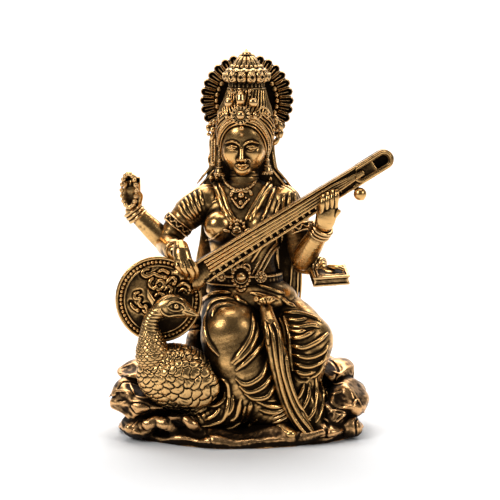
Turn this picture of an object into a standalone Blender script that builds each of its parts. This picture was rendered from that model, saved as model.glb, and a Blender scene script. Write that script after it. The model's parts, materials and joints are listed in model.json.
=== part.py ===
"""Brass statuette of a seated, four-armed figure that plays a long-necked lute beside a bird.

The statuette is an assembly of small castings, each one object here, brazed side by side with a hairline
of clearance between them.  Lengths are millimetres until each mesh is scaled to metres at the end.
X runs to the viewer's right, Y away from the viewer and Z up.  "Right" and "left" are the figure's own.

Every casting is a list of simple closed shapes.  A shape is a function of one number, the allowance by
which it is grown: 0 makes the casting itself, and CLEARANCE makes the cutter that seats it in a neighbour.
"""

import math
import random

import bmesh
import bpy
from mathutils import Euler, Matrix, Vector

MM = 0.001
CLEARANCE = 0.3

# Driving dimensions
PLINTH_CENTRE = Vector((-1.8, -0.8, 0.0))
PLINTH_HALF = (24.6, 16.2)
PLINTH_HEIGHT = 3.2
HEAD = Vector((-1.4, 2.4, 58.8))
CROWN_AXIS = Vector((-0.9, 3.0, 0.0))
CROWN_LEVELS = (64.4, 70.4, 73.4, 75.9, 77.5)
HALO = Vector((-0.85, 8.9, 66.9))
HALO_RADIUS = 9.3
HALO_SCALLOPS = 30
LUTE_TAIL = Vector((-9.4, -9.0, 34.4))
LUTE_TOP = Vector((24.2, -7.2, 55.2))
LUTE_BOWL = Vector((-18.5, -6.4, 28.2))
LUTE_BOWL_RADIUS = 8.8
LUTE_STRINGS = 4
RIGHT_ELBOW = Vector((-17.2, 1.4, 38.4))
LEFT_ELBOW = Vector((10.4, -1.2, 35.4))
RAISED_WRIST = Vector((-24.1, 2.3, 44.9))
PLUCKING_WRIST = Vector((-15.2, -6.2, 37.8))
FRETTING_WRIST = Vector((14.2, -6.6, 42.6))
BOOK_WRIST = Vector((14.0, -2.6, 33.9))
BOOK = Vector((16.2, -4.4, 32.2))
BOOK_HALF = Vector((3.5, 2.9, 0.7))
RIGHT_KNEE = Vector((-4.1, -8.0, 20.8))
RIGHT_ANKLE = Vector((6.0, -10.8, 4.7))
LEFT_KNEE = Vector((11.4, -5.2, 19.6))
BIRD_BODY = Vector((-14.6, -9.9, 13.0))
BIRD_HEAD = Vector((-15.6, -11.0, 26.8))

MATERIALS = {
    "figure_brass": ((0.60, 0.41, 0.17), 0.32),
    "ornament_brass": ((0.74, 0.52, 0.23), 0.26),
    "lute_brass": ((0.64, 0.43, 0.18), 0.30),
    "bird_brass": ((0.62, 0.44, 0.19), 0.33),
    "rock_brass": ((0.52, 0.36, 0.15), 0.42),
}


# ---- shapes: each returns a function of the growth allowance that makes a closed bmesh ----


def rotation_to(direction, turn=0.0):
    """The rotation that takes +Z to a direction, after a turn about +Z."""
    quaternion = Vector(direction).to_track_quat("Z", "Y")
    return quaternion.to_matrix().to_4x4() @ Matrix.Rotation(turn, 4, "Z")


def skin_rings(bm, rings):
    """Joins rings of points into a tube with flat caps."""
    loops = [[bm.verts.new(point) for point in ring] for ring in rings]
    count = len(loops[0])
    for lower, upper in zip(loops, loops[1:]):
        for i in range(count):
            j = (i + 1) % count
            bm.faces.new((lower[i], lower[j], upper[j], upper[i]))
    bm.faces.new(reversed(loops[0]))
    bm.faces.new(loops[-1])
    bmesh.ops.recalc_face_normals(bm, faces=bm.faces)
    return bm


def circle(count, start=0.0):
    """Cosine and sine of evenly spaced angles round a circle."""
    angles = [start + 2 * math.pi * i / count for i in range(count)]
    return [(math.cos(angle), math.sin(angle)) for angle in angles]


def ball(centre, half, turn=(0, 0, 0), segments=14, rings=8):
    """An ellipsoid with its half axes, turned by Euler angles in degrees."""

    def make(grow):
        bm = bmesh.new()
        size = Matrix.Diagonal([h + grow for h in half] + [1])
        turned = Euler([math.radians(a) for a in turn]).to_matrix().to_4x4()
        place = Matrix.Translation(Vector(centre)) @ turned @ size
        bmesh.ops.create_uvsphere(bm, u_segments=segments, v_segments=rings, radius=1, matrix=place)
        return bm

    return make


def limb(points, radii, sides=10, flat=1.0, broad=(1, 0, 0)):
    """A tube along a path, its radius given at each point and flattened square to the broad direction."""

    def make(grow):
        path = [Vector(p) for p in points]
        path[0] = path[0] + (path[0] - path[1]).normalized() * grow
        path[-1] = path[-1] + (path[-1] - path[-2]).normalized() * grow
        rings = []
        for i, (point, radius) in enumerate(zip(path, radii)):
            along = (path[min(i + 1, len(path) - 1)] - path[max(i - 1, 0)]).normalized()
            across = Vector(broad) - along * along.dot(Vector(broad))
            across.normalize()
            other = along.cross(across)
            wide, thin = radius + grow, radius * flat + grow
            rings.append([point + across * c * wide + other * s * thin for c, s in circle(sides)])
        return skin_rings(bmesh.new(), rings)

    return make


def stack(sections, sides=16):
    """A loft through level ellipses, each (x, y, z, half width, half depth)."""

    def make(grow):
        last = len(sections) - 1
        rings = []
        for i, (x, y, z, wide, deep) in enumerate(sections):
            level = z + grow * ((i == last) - (i == 0))
            rings.append([(x + c * (wide + grow), y + s * (deep + grow), level) for c, s in circle(sides)])
        return skin_rings(bmesh.new(), rings)

    return make


def turned(profile, centre, axis=(0, 0, 1), steps=20, squash=1.0):
    """A turned piece from (radius, height) pairs, its heights measured from centre along the axis."""

    def make(grow):
        place = Matrix.Translation(Vector(centre)) @ rotation_to(axis)
        heights = [height for _, height in profile]
        middle, span = (heights[0] + heights[-1]) / 2, abs(heights[-1] - heights[0])
        rings = []
        for radius, height in profile:
            level = middle + (height - middle) * (1 + 2 * grow / span)
            reach = radius + grow
            rings.append([place @ Vector((c * reach, s * reach * squash, level)) for c, s in circle(steps)])
        return skin_rings(bmesh.new(), rings)

    return make


def block(centre, half, turn=(0, 0, 0), bevel=0.0):
    """A box with its half sizes, turned by Euler angles in degrees, its edges bevelled."""

    def make(grow):
        bm = bmesh.new()
        bmesh.ops.create_cube(bm, size=2)
        bmesh.ops.scale(bm, vec=[h + grow for h in half], verts=bm.verts)
        if bevel:
            bmesh.ops.bevel(bm, geom=bm.edges[:], offset=bevel, segments=2, affect="EDGES", profile=0.5)
        rotation = Euler([math.radians(a) for a in turn]).to_matrix().to_4x4()
        bmesh.ops.transform(bm, matrix=Matrix.Translation(Vector(centre)) @ rotation, verts=bm.verts)
        return bm

    return make


def prism(outline, thickness, centre, axis):
    """A plate of an outline drawn round the origin, square to an axis and centred on its thickness."""

    def make(grow):
        place = Matrix.Translation(Vector(centre)) @ rotation_to(axis)
        rings = []
        for side in (-1, 1):
            level = side * (thickness / 2 + grow)
            ring = [Vector((x, y, level)) + Vector((x, y, 0)).normalized() * grow for x, y in outline]
            rings.append([place @ point for point in ring])
        return skin_rings(bmesh.new(), rings)

    return make


def hoop(centre, axis, radius, wire, steps=18, sides=6, stretch=1.0):
    """A ring of round wire, stretched along its second axis into an ellipse."""

    def make(grow):
        place = Matrix.Translation(Vector(centre)) @ rotation_to(axis)
        bm = bmesh.new()
        loops = []
        for c, s in circle(steps):
            loop = []
            middle = Vector((c * radius, s * radius * stretch, 0))
            outward = Vector((c * stretch, s, 0)).normalized()
            for a, b in circle(sides):
                point = middle + (outward * a + Vector((0, 0, b))) * (wire + grow)
                loop.append(bm.verts.new(place @ point))
            loops.append(loop)
        for i, loop in enumerate(loops):
            following = loops[(i + 1) % steps]
            for k in range(sides):
                m = (k + 1) % sides
                bm.faces.new((loop[k], following[k], following[m], loop[m]))
        bmesh.ops.recalc_face_normals(bm, faces=bm.faces)
        return bm

    return make


def rock(centre, half, seed, corners=26):
    """A boulder: the hull of points strewn over a rounded box."""
    strewn = random.Random(seed)
    points = []
    for _ in range(corners):
        direction = Vector([strewn.gauss(0, 1) for _ in range(3)]).normalized()
        direction /= max(abs(a) for a in direction) ** 0.6
        points.append(Vector([d * h for d, h in zip(direction, half)]))

    def make(grow):
        bm = bmesh.new()
        share = [(h + grow) / h for h in half]
        for point in points:
            bm.verts.new(Vector(centre) + Vector([p * s for p, s in zip(point, share)]))
        hull = bmesh.ops.convex_hull(bm, input=bm.verts)
        spare = [v for v in hull["geom_interior"] + hull["geom_unused"] if isinstance(v, bmesh.types.BMVert)]
        bmesh.ops.delete(bm, geom=spare, context="VERTS")
        return bm

    return make


# ---- the castings ----


def head():
    nose = limb([HEAD + Vector((0, -4.4, 0.4)), HEAD + Vector((0, -5.4, -1.9))], [0.35, 0.75], sides=6)
    chin = ball(HEAD + Vector((0, -2.0, -4.0)), (2.9, 2.7, 2.5), segments=12, rings=6)
    neck = limb([HEAD + Vector((0, 0.4, -4.0)), HEAD + Vector((0.1, 0.4, -9.0))], [2.5, 2.9], sides=12)
    return [ball(HEAD, (4.6, 4.9, 6.2)), chin, neck, nose]


def hair():
    cap = ball(HEAD + Vector((0.1, 1.5, 1.4)), (5.6, 5.0, 5.6))
    knot = ball(HEAD + Vector((0.2, 5.2, -3.6)), (3.6, 2.4, 3.0), segments=12, rings=6)
    return [cap, knot]


def crown_profiles():
    """Name and profile of each turned tier of the crown, from the hairline up."""
    base, tier, dome, bulb, tip = CROWN_LEVELS
    return {
        "crown_cone": [(4.6, base), (4.9, base + 1.2), (4.1, base + 3.6), (3.7, tier - 1.0), (3.8, tier)],
        "crown_tier": [(3.7, tier), (4.6, tier + 1.0), (4.6, tier + 1.8), (4.0, dome)],
        "crown_dome": [(2.9, dome), (2.9, dome + 0.7), (2.3, dome + 1.5), (1.2, bulb)],
        "crown_finial": [(0.7, bulb), (0.95, bulb + 0.5), (0.5, bulb + 1.0), (0.12, tip)],
    }


def crown_part(name):
    """One tier, short of its neighbour below by the clearance."""
    profile = crown_profiles()[name]
    lowest = profile[0]
    raised = [(lowest[0], lowest[1] + CLEARANCE)] + profile[1:]
    return [turned(raised, CROWN_AXIS)]


def halo():
    """A dished disc with a scalloped rim, three points to each scallop."""
    outline = []
    for i in range(HALO_SCALLOPS * 3):
        bulge = (0.0, 0.42, 0.42)[i % 3]
        angle = 2 * math.pi * i / (HALO_SCALLOPS * 3)
        reach = HALO_RADIUS - 0.45 + bulge
        outline.append((reach * math.cos(angle), reach * math.sin(angle)))
    return [prism(outline, 1.5, HALO, (0, -1, 0))]


def forehead_medallion():
    centre = HEAD + Vector((-0.6, -4.7, 5.3))
    return [turned([(1.0, -0.5), (1.8, -0.2), (1.7, 0.3), (0.9, 0.7)], centre, (0, -1, 0.25), 12)]


def crown_drop():
    low = HEAD + Vector((-0.6, -4.4, 7.6))
    path = [low, low + Vector((0, 0.5, 1.2)), low + Vector((0.1, 1.2, 3.4))]
    return [limb(path, [0.9, 1.0, 0.35], sides=8, flat=0.7)]


def earring(side):
    """A bell-shaped pendant under one ear; side is -1 for the figure's right."""
    top = HEAD + Vector((side * 4.95 + 0.1, -0.6, -3.4))
    return [turned([(0.3, 0.6), (0.45, -0.9), (1.0, -2.4), (1.15, -3.2), (0.6, -3.5)], top, steps=12)]


def ear_stud(side):
    return [ball(HEAD + Vector((side * 5.6 + 0.1, 0.4, 0.2)), (0.9, 1.5, 2.0), segments=10, rings=6)]


def nose_ring():
    return [hoop(HEAD + Vector((1.1, -5.3, -1.8)), (0.3, -1, 0), 0.62, 0.16, steps=12, sides=6)]


def torso():
    trunk = [
        (-1.2, 1.6, 28.0, 8.2, 5.2),
        (-1.5, 1.0, 32.0, 6.8, 4.6),
        (-1.6, 0.8, 35.0, 6.3, 4.2),
        (-1.5, 0.8, 39.0, 7.0, 4.7),
        (-1.2, 1.0, 43.0, 8.0, 5.0),
        (-1.0, 1.8, 46.6, 8.8, 4.3),
        (-1.2, 2.3, 49.2, 6.6, 3.4),
        (-1.3, 2.7, 50.8, 3.6, 2.9),
    ]
    right_breast = ball((-6.4, -2.6, 42.2), (3.2, 3.2, 3.3), segments=12, rings=7)
    left_breast = ball((1.9, -2.8, 42.2), (3.2, 3.2, 3.3), segments=12, rings=7)
    return [stack(trunk), right_breast, left_breast]


def shawl():
    """The cloth that falls from the crown over the shoulders and down the back to the seat."""
    fall = [
        (-0.8, 6.4, 21.5, 9.2, 2.4),
        (0.2, 6.3, 28.0, 9.6, 2.6),
        (0.4, 5.8, 34.0, 9.8, 2.6),
        (0.0, 5.8, 41.0, 9.4, 2.8),
        (-0.7, 5.9, 47.0, 9.0, 2.8),
        (-1.0, 6.2, 50.6, 6.6, 2.6),
        (-1.2, 6.6, 53.6, 4.8, 2.4),
    ]
    return [stack(fall, sides=14)]


def shoulder_strap(side):
    """A double roll of cloth from a shoulder to the brooch between the breasts."""
    brooch = Vector((-2.7, -5.9, 42.6))
    shoulder = Vector((-1.4 + side * 5.6, 0.6, 50.2))
    chest = Vector((-2.2 + side * 3.2, -3.6, 46.4))
    near = brooch + Vector((side * 1.2, 0.3, 0.9))
    return [limb([shoulder, chest, near], [0.75, 0.8, 0.7], sides=8)]


def necklace():
    nape = HEAD + Vector((-0.5, 0.2, -8.3))
    arc = []
    for i in range(9):
        angle = math.radians(-78 + 156 * i / 8)
        arc.append(nape + Vector((3.5 * math.sin(angle), -4.6 * math.cos(angle), -1.4 * math.cos(angle))))
    return [limb(arc, [0.35] + [0.55] * 7 + [0.35], sides=6, broad=(0, 0, 1))]


def pendant():
    top = Vector((-2.2, -4.3, 47.9))
    path = [top, top + Vector((0, -0.5, -1.4)), top + Vector((-0.1, -0.6, -3.0))]
    return [limb(path, [0.9, 1.3, 0.4], sides=8, flat=0.55)]


def brooch():
    profile = [(1.0, -0.5), (1.75, -0.1), (1.6, 0.35), (0.9, 0.75)]
    return [turned(profile, (-2.8, -5.8, 41.7), (0, -1, 0.1), 12)]


def waist_belt():
    levels = ((30.6, 7.9, 5.6), (31.4, 8.1, 5.8), (32.6, 7.7, 5.4))
    return [stack([(-1.5, 0.9, z, wide, deep) for z, wide, deep in levels], sides=18)]


def belt_buckle():
    profile = [(1.6, -0.4), (2.3, 0.0), (2.1, 0.5), (1.1, 1.2)]
    return [turned(profile, (-2.2, -5.4, 31.9), (0, -1, 0.1), 14)]


def sash():
    """The embroidered band that crosses from the hip up under the lute."""
    path = [(1.2, -5.2, 33.4), (3.6, -5.2, 36.4), (6.2, -4.4, 40.0)]
    return [limb(path, [0.9, 1.0, 0.9], sides=8, flat=0.5)]


def upper_arm(side):
    if side < 0:
        points = [(-10.0, 2.5, 46.0), (-12.4, 2.3, 44.4), (-14.6, 1.9, 42.2), RIGHT_ELBOW]
    else:
        points = [(6.8, 2.6, 46.0), (8.2, 2.0, 43.8), (9.4, 0.6, 40.0), LEFT_ELBOW]
    shoulder = ball(Vector(points[0]) + Vector((0, 0, 0.3)), (3.5, 3.3, 3.1), segments=12, rings=8)
    return [limb(points, [3.1, 3.1, 2.8, 2.3], sides=12, broad=(0, 1, 0)), shoulder]


def armlet(side):
    profile = [(3.0, -0.9), (3.35, -0.3), (3.35, 0.5), (2.9, 0.9)]
    if side < 0:
        return [turned(profile, (-14.9, 1.85, 42.1), (-0.62, -0.1, -0.78), 14)]
    return [turned(profile, (10.0, 0.9, 41.2), (0.3, -0.3, -0.95), 14)]


def forearm(elbow, wrist, start, radii):
    """A tapering forearm, set off from its elbow so that two can share one."""
    first = Vector(elbow) + Vector(start)
    comes_forward = abs(first.y - wrist.y) > 5
    broad = (0.2, 0.1, 1) if comes_forward else (0, 1, 0)
    return [limb([first, first.lerp(wrist, 0.45), wrist], radii, sides=10, broad=broad)]


def plucking_forearm():
    return forearm(RIGHT_ELBOW, PLUCKING_WRIST, (0.2, -0.8, -0.3), [2.4, 2.2, 1.6])


def raised_forearm():
    return forearm(RIGHT_ELBOW, RAISED_WRIST, (-0.6, 0.6, 0.4), [2.3, 2.1, 1.6])


def fretting_forearm():
    return forearm(LEFT_ELBOW, FRETTING_WRIST, (0.2, -0.6, 0.2), [2.5, 2.3, 1.7])


def book_forearm():
    return forearm(LEFT_ELBOW, BOOK_WRIST, (0.2, 0.9, -0.8), [2.3, 2.1, 1.6])


def bangles(wrist, offset, direction, radius):
    """Three rings side by side, cast as one, set off from the wrist."""
    along = Vector(direction).normalized()
    profile = []
    for i in range(3):
        level = i * 0.8
        profile += [(radius, level), (radius + 0.35, level + 0.4)]
    profile.append((radius, 2.4))
    return [turned(profile, wrist + Vector(offset) - along * 1.2, along, 14)]


def raised_wrist_bangles():
    return bangles(RAISED_WRIST, (0.5, 0, -0.6), (-0.6, 0, 0.8), 2.0)


def fretting_wrist_bangles():
    return bangles(FRETTING_WRIST, (-0.3, 0, -0.5), (0.4, -0.5, 0.75), 2.1)


def book_wrist_bangles():
    return bangles(BOOK_WRIST, (-0.5, 0.4, 0.1), (0.85, -0.5, -0.15), 1.9)


def plucking_wrist_bangle():
    return bangles(PLUCKING_WRIST, (0, 0.9, 0), (0.1, -1, 0), 2.0)


def raised_hand():
    base = RAISED_WRIST + Vector((0, 0, 0.6))
    back = [base, base + Vector((-0.3, -0.1, 2.0)), base + Vector((-0.2, -0.4, 3.6))]
    bend = [base + Vector(step) for step in ((-0.2, -0.4, 3.2), (-0.1, -0.6, 5.6), (0.1, -1.0, 7.4))]
    palm = limb(back, [1.4, 1.9, 1.9], sides=10, flat=0.6)
    fingers = limb(bend, [1.8, 1.5, 0.9], sides=8, flat=0.6)
    thumb = limb([base + Vector((1.0, -0.2, 1.2)), base + Vector((1.5, -1.0, 3.4))], [0.7, 0.5], sides=6)
    return [palm, fingers, thumb]


def prayer_beads():
    """A closed string of beads draped over the raised hand."""
    centre = RAISED_WRIST + Vector((-0.6, -2.3, 4.2))
    return [hoop(centre, (0.2, -1, 0), 1.35, 0.42, steps=20, sides=8, stretch=2.3)]


def plucking_hand():
    wrist = PLUCKING_WRIST + Vector((0.5, -1.2, 0.1))
    middle = wrist + Vector((1.0, -3.2, -1.1))
    knuckles = wrist + Vector((1.9, -4.8, -3.2))
    tips = wrist + Vector((3.3, -5.2, -7.0))
    back = limb([wrist, middle, knuckles], [1.4, 1.9, 2.0], sides=10, flat=0.7)
    bend = [knuckles + Vector((0, 0.1, 0.4)), knuckles.lerp(tips, 0.6), tips]
    fingers = limb(bend, [2.0, 1.8, 1.2], sides=8, flat=0.5)
    return [back, fingers]


def fretting_hand():
    wrist = FRETTING_WRIST + Vector((0.1, -0.8, 0.5))
    palm = [wrist + Vector(step) for step in ((0, 0, 0), (0.4, -1.7, 1.4), (0.9, -2.0, 4.0))]
    bend = [wrist + Vector(step) for step in ((0.9, -2.0, 3.6), (1.3, -1.6, 6.3), (1.4, 0.6, 7.0))]
    back = limb(palm, [1.5, 2.0, 2.0], sides=10, flat=0.7)
    fingers = limb(bend, [1.9, 1.7, 1.2], sides=8, flat=0.6)
    return [back, fingers]


def book_hand():
    wrist = BOOK_WRIST + Vector((0.6, -0.5, 0.1))
    over = [(0, 0, 0), (1.4, -1.0, 0.0), (3.4, -1.8, -0.7)]
    under = [(0.8, -0.6, 0.0), (0.6, 0.9, -2.2), (1.8, -0.8, -3.9), (3.0, -2.2, -4.2)]
    thumb = [wrist + Vector(step) for step in over]
    fingers = [wrist + Vector(step) for step in under]
    return [
        limb(thumb, [1.2, 1.5, 1.0], sides=8, flat=0.55, broad=(0.4, 0.9, 0)),
        limb(fingers, [1.0, 1.0, 1.3, 1.0], sides=8, flat=0.8),
    ]


def book():
    return [block(BOOK, BOOK_HALF, (14, -3, 8), bevel=0.2)]


def lute_frame():
    """Direction up the neck, width direction across it and the way its face looks."""
    along = (LUTE_TOP - LUTE_TAIL).normalized()
    face = Vector((0, -1, 0))
    face = (face - along * along.dot(face)).normalized()
    return along, along.cross(face), face


def lute_neck():
    across = lute_frame()[1]
    path = [LUTE_TAIL, LUTE_TAIL.lerp(LUTE_TOP, 0.5), LUTE_TOP]
    return [limb(path, [2.3, 2.05, 1.8], sides=8, flat=0.56, broad=across)]


def lute_head():
    """The open peg box, a rounded trough that ends the neck."""
    along, across, _ = lute_frame()
    start = LUTE_TOP + along * CLEARANCE
    path = [start + along * reach for reach in (0, 1.4, 2.6, 3.3)]
    return [limb(path, [1.7, 1.9, 1.6, 0.8], sides=12, flat=0.75, broad=across)]


def lute_bowl():
    back = [(2.0, -3.0), (5.6, -2.3), (7.9, -0.6), (LUTE_BOWL_RADIUS, 0.8)]
    profile = back + [(8.4, 1.5), (5.0, 1.9), (1.0, 2.1)]
    return [turned(profile, LUTE_BOWL, (0.03, -1, 0.06), 32)]


def lute_tail_block():
    """The shoulder where the neck widens into the bowl."""
    along, across, _ = lute_frame()
    end = LUTE_TAIL - along * CLEARANCE
    path = [end, end - along * 2.4, end - along * 5.0]
    return [limb(path, [2.1, 2.6, 3.4], sides=10, flat=0.55, broad=across)]


def lute_strings():
    """The strings, cast side by side as one ribbed strip."""
    along, across, face = lute_frame()
    shapes = []
    for number in range(LUTE_STRINGS):
        offset = (number - (LUTE_STRINGS - 1) / 2) * 0.64
        low = LUTE_TAIL + along * 1.6 + across * offset * 1.1 + face * 1.8
        high = LUTE_TOP - along * 0.6 + across * offset + face * 1.65
        shapes.append(limb([low, high], [0.36, 0.36], sides=6, broad=across))
    return shapes


def lute_tuning_ball():
    along, across, _ = lute_frame()
    stem = LUTE_TOP - along * 4.4 - across * 2.2
    knob = ball((22.0, -7.6, 48.6), (1.3, 1.3, 1.3), segments=12, rings=8)
    return [knob, limb([stem, (21.7, -7.6, 48.9)], [0.5, 0.45], sides=6)]


def right_leg():
    thigh = ball((-4.0, -3.2, 23.6), (6.0, 9.4, 5.6), (10, 0, 3))
    points = [RIGHT_KNEE, (-2.9, -8.6, 16.6), (-0.8, -9.2, 11.8), (2.2, -10.0, 7.6), RIGHT_ANKLE]
    shin = limb(points, [6.0, 6.2, 5.8, 4.4, 2.4], sides=14, flat=0.85)
    return [shin, thigh]


def left_leg():
    above = [(4.2, 1.8, 24.6), (8.2, -1.8, 22.4), LEFT_KNEE]
    thigh = limb(above, [5.2, 5.2, 5.0], sides=14, broad=(0, 1, 0.3))
    knee = ball(LEFT_KNEE, (5.1, 5.1, 5.2), segments=12, rings=8)
    below = [LEFT_KNEE + Vector((0.0, -0.2, -0.5)), (10.4, -6.0, 14.2), (8.8, -6.6, 9.0)]
    shin = limb(below, [5.0, 4.6, 4.0], sides=14)
    return [shin, thigh, knee]


def lap():
    return [ball((0.2, -0.6, 27.6), (9.2, 6.4, 4.0)), ball((-0.6, 2.6, 24.0), (10.2, 6.6, 4.6))]


def left_drape():
    """The hem that hangs from the crossed leg down to the plinth."""
    fall = [
        (10.6, -8.4, 2.2, 5.4, 4.2),
        (10.4, -7.8, 6.0, 4.9, 4.2),
        (9.8, -6.6, 10.0, 4.2, 4.0),
        (9.6, -6.0, 13.0, 3.4, 3.4),
    ]
    return [stack(fall, sides=12)]


def pleats():
    """The gathered end of the cloth between the knees."""
    upper = [(3.0, -8.6, 26.2), (4.4, -12.2, 21.4), (6.0, -13.0, 14.0)]
    lower = [(8.0, -13.4, 7.6), (11.2, -14.2, 2.6)]
    return [limb(upper + lower, [1.5, 2.1, 2.0, 1.9, 1.3], sides=8, flat=0.55)]


def pleat_knot():
    return [ball((3.0, -8.4, 28.4), (1.6, 1.3, 1.2), (0, -14, 0), segments=10, rings=6)]


def hem():
    """Cloth that has fallen in folds over the plinth on the right of the shin."""
    points = [(-1.6, -9.2, 9.4), (-5.0, -11.6, 6.6), (-9.4, -12.2, 4.8)]
    return [limb(points, [3.4, 3.2, 2.0], sides=10, flat=0.7)]


def right_foot():
    path = [RIGHT_ANKLE + Vector(step) for step in ((0, 0, -0.9), (0.5, -1.4, -2.2), (2.2, -4.2, -2.6))]
    return [limb(path, [1.9, 1.9, 1.3], sides=10, flat=0.75)]


def anklet():
    profile = [(2.4, -1.0), (2.8, -0.6), (2.5, -0.1), (2.8, 0.4), (2.4, 0.9)]
    return [turned(profile, RIGHT_ANKLE + Vector((-0.4, 0, 1.0)), (-0.45, 0, 0.9), 14)]


def bird_body():
    return [ball(BIRD_BODY, (8.2, 5.0, 6.5), (0, 14, 0), segments=16, rings=9)]


def bird_neck():
    points = [
        (-19.6, -10.4, 15.6),
        (-20.4, -10.6, 18.6),
        (-20.4, -10.8, 21.6),
        (-19.2, -11.0, 24.4),
        (-17.6, -11.0, 26.2),
    ]
    return [limb(points, [3.3, 2.8, 2.2, 1.85, 1.5], sides=12, broad=(0, 1, 0))]


def bird_head():
    line = [BIRD_HEAD + Vector((1.0, 0, 0.0)), BIRD_HEAD + Vector((5.0, -0.2, -1.7))]
    beak = limb(line, [1.45, 0.3], sides=8)
    return [ball(BIRD_HEAD, (2.5, 1.9, 1.8), (0, 18, 0), segments=12, rings=8), beak]


def bird_crest():
    path = [(-18.6, -10.8, 28.2), (-20.0, -10.6, 29.6), (-21.4, -10.4, 31.0)]
    return [limb(path, [0.4, 0.45, 0.4], sides=8)]


def bird_wing():
    return [ball(BIRD_BODY + Vector((2.2, -4.2, -0.4)), (5.6, 1.5, 4.4), (0, 16, 0), segments=14, rings=6)]


def bird_tail():
    path = [(-13.0, -10.4, 8.6), (-10.4, -11.2, 6.8), (-7.6, -11.8, 5.6)]
    return [limb(path, [2.0, 1.8, 1.1], sides=8, flat=0.55)]


def plinth():
    x, y = PLINTH_CENTRE.x, PLINTH_CENTRE.y
    wide, deep = PLINTH_HALF
    return [
        stack(
            [
                (x, y, 0.0, wide - 1.2, deep - 0.9),
                (x, y, 1.0, wide - 0.2, deep - 0.1),
                (x, y, 2.0, wide, deep),
                (x, y, PLINTH_HEIGHT, wide - 0.9, deep - 0.9),
            ],
            sides=36,
        )
    ]


def seat_rock():
    return [
        rock((0.4, 5.6, 12.0), (13.4, 8.4, 9.6), seed=5, corners=40),
        rock((-12.6, 5.0, 10.0), (7.0, 7.4, 6.8), seed=9),
        rock((12.0, 5.4, 8.8), (7.0, 7.6, 6.4), seed=4),
    ]


def left_rocks():
    return [
        rock((16.8, 3.6, 11.0), (4.6, 5.6, 2.8), seed=21),
        rock((19.0, -0.4, 6.6), (4.2, 6.8, 3.9), seed=22),
        rock((17.0, -6.0, 5.0), (4.2, 4.4, 2.9), seed=23),
    ]


def right_rocks():
    return [
        rock((-22.4, 1.6, 10.6), (4.2, 5.4, 2.8), seed=31),
        rock((-23.8, -3.4, 6.8), (5.2, 6.2, 3.7), seed=32),
        rock((-20.6, -8.4, 5.0), (5.2, 4.8, 2.9), seed=33),
    ]


def loose_boulder():
    return [rock((18.6, -9.2, 4.4), (3.2, 2.8, 2.6), seed=41)]


def plinth_pebbles():
    return [
        rock((-13.8, -14.0, 4.0), (2.6, 1.5, 1.1), seed=51),
        rock((-10.8, -14.2, 3.9), (2.0, 1.3, 1.0), seed=52),
    ]


def castings():
    """(name, material, shapes) of every casting; each one is seated in those that follow it."""
    ornament, figure, instrument = "ornament_brass", "figure_brass", "lute_brass"
    bird, stone = "bird_brass", "rock_brass"
    parts = [
        ("nose_ring", ornament, nose_ring()),
        ("lute_strings", instrument, lute_strings()),
        ("lute_neck", instrument, lute_neck() + lute_tail_block()),
        ("lute_head", instrument, lute_head()),
        ("lute_tuning_ball", instrument, lute_tuning_ball()),
        ("prayer_beads", ornament, prayer_beads()),
        ("book", ornament, book()),
        ("fretting_hand", figure, fretting_hand()),
        ("plucking_hand", figure, plucking_hand()),
        ("book_hand", figure, book_hand()),
        ("raised_hand", figure, raised_hand()),
        ("forehead_medallion", ornament, forehead_medallion() + crown_drop()),
        ("right_earring", ornament, earring(-1) + ear_stud(-1)),
        ("left_earring", ornament, earring(1) + ear_stud(1)),
        ("brooch", ornament, brooch()),
        ("necklace", ornament, necklace() + pendant()),
        ("belt_buckle", ornament, belt_buckle()),
        ("right_shoulder_strap", figure, shoulder_strap(-1)),
        ("left_shoulder_strap", figure, shoulder_strap(1)),
        ("sash", ornament, sash()),
        ("plucking_forearm", figure, plucking_forearm()),
        ("raised_forearm", figure, raised_forearm()),
        ("fretting_forearm", figure, fretting_forearm()),
        ("book_forearm", figure, book_forearm()),
        ("right_upper_arm", figure, upper_arm(-1)),
        ("left_upper_arm", figure, upper_arm(1)),
        ("raised_wrist_bangles", ornament, raised_wrist_bangles()),
        ("fretting_wrist_bangles", ornament, fretting_wrist_bangles()),
        ("book_wrist_bangles", ornament, book_wrist_bangles()),
        ("plucking_wrist_bangle", ornament, plucking_wrist_bangle()),
        ("right_armlet", ornament, armlet(-1)),
        ("left_armlet", ornament, armlet(1)),
        ("pleat_knot", figure, pleat_knot()),
        ("pleats", figure, pleats()),
        ("bird_head", bird, bird_head() + bird_crest()),
        ("bird_wing", bird, bird_wing()),
        ("bird_neck", bird, bird_neck()),
        ("bird_body", bird, bird_body() + bird_tail()),
        ("lute_bowl", instrument, lute_bowl()),
        ("right_foot", figure, right_foot()),
        ("head", figure, head()),
    ]
    parts += [(name, ornament, crown_part(name)) for name in crown_profiles()]
    parts += [
        ("hair", figure, hair()),
        ("halo", ornament, halo()),
        ("torso", figure, torso()),
        ("waist_belt", ornament, waist_belt()),
        ("right_leg", figure, right_leg()),
        ("anklet", ornament, anklet()),
        ("left_leg", figure, left_leg()),
        ("lap", figure, lap()),
        ("shawl", figure, shawl()),
        ("left_drape", figure, left_drape()),
        ("hem", figure, hem()),
        ("left_rocks", stone, left_rocks() + loose_boulder()),
        ("right_rocks", stone, right_rocks()),
        ("plinth", stone, plinth() + plinth_pebbles()),
        ("seat_rock", stone, seat_rock()),
    ]
    return parts


# ---- from shapes to objects ----


def object_of(name, bm):
    mesh = bpy.data.meshes.new(name)
    bm.to_mesh(mesh)
    bm.free()
    made = bpy.data.objects.new(name, mesh)
    bpy.context.scene.collection.objects.link(made)
    return made


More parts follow.
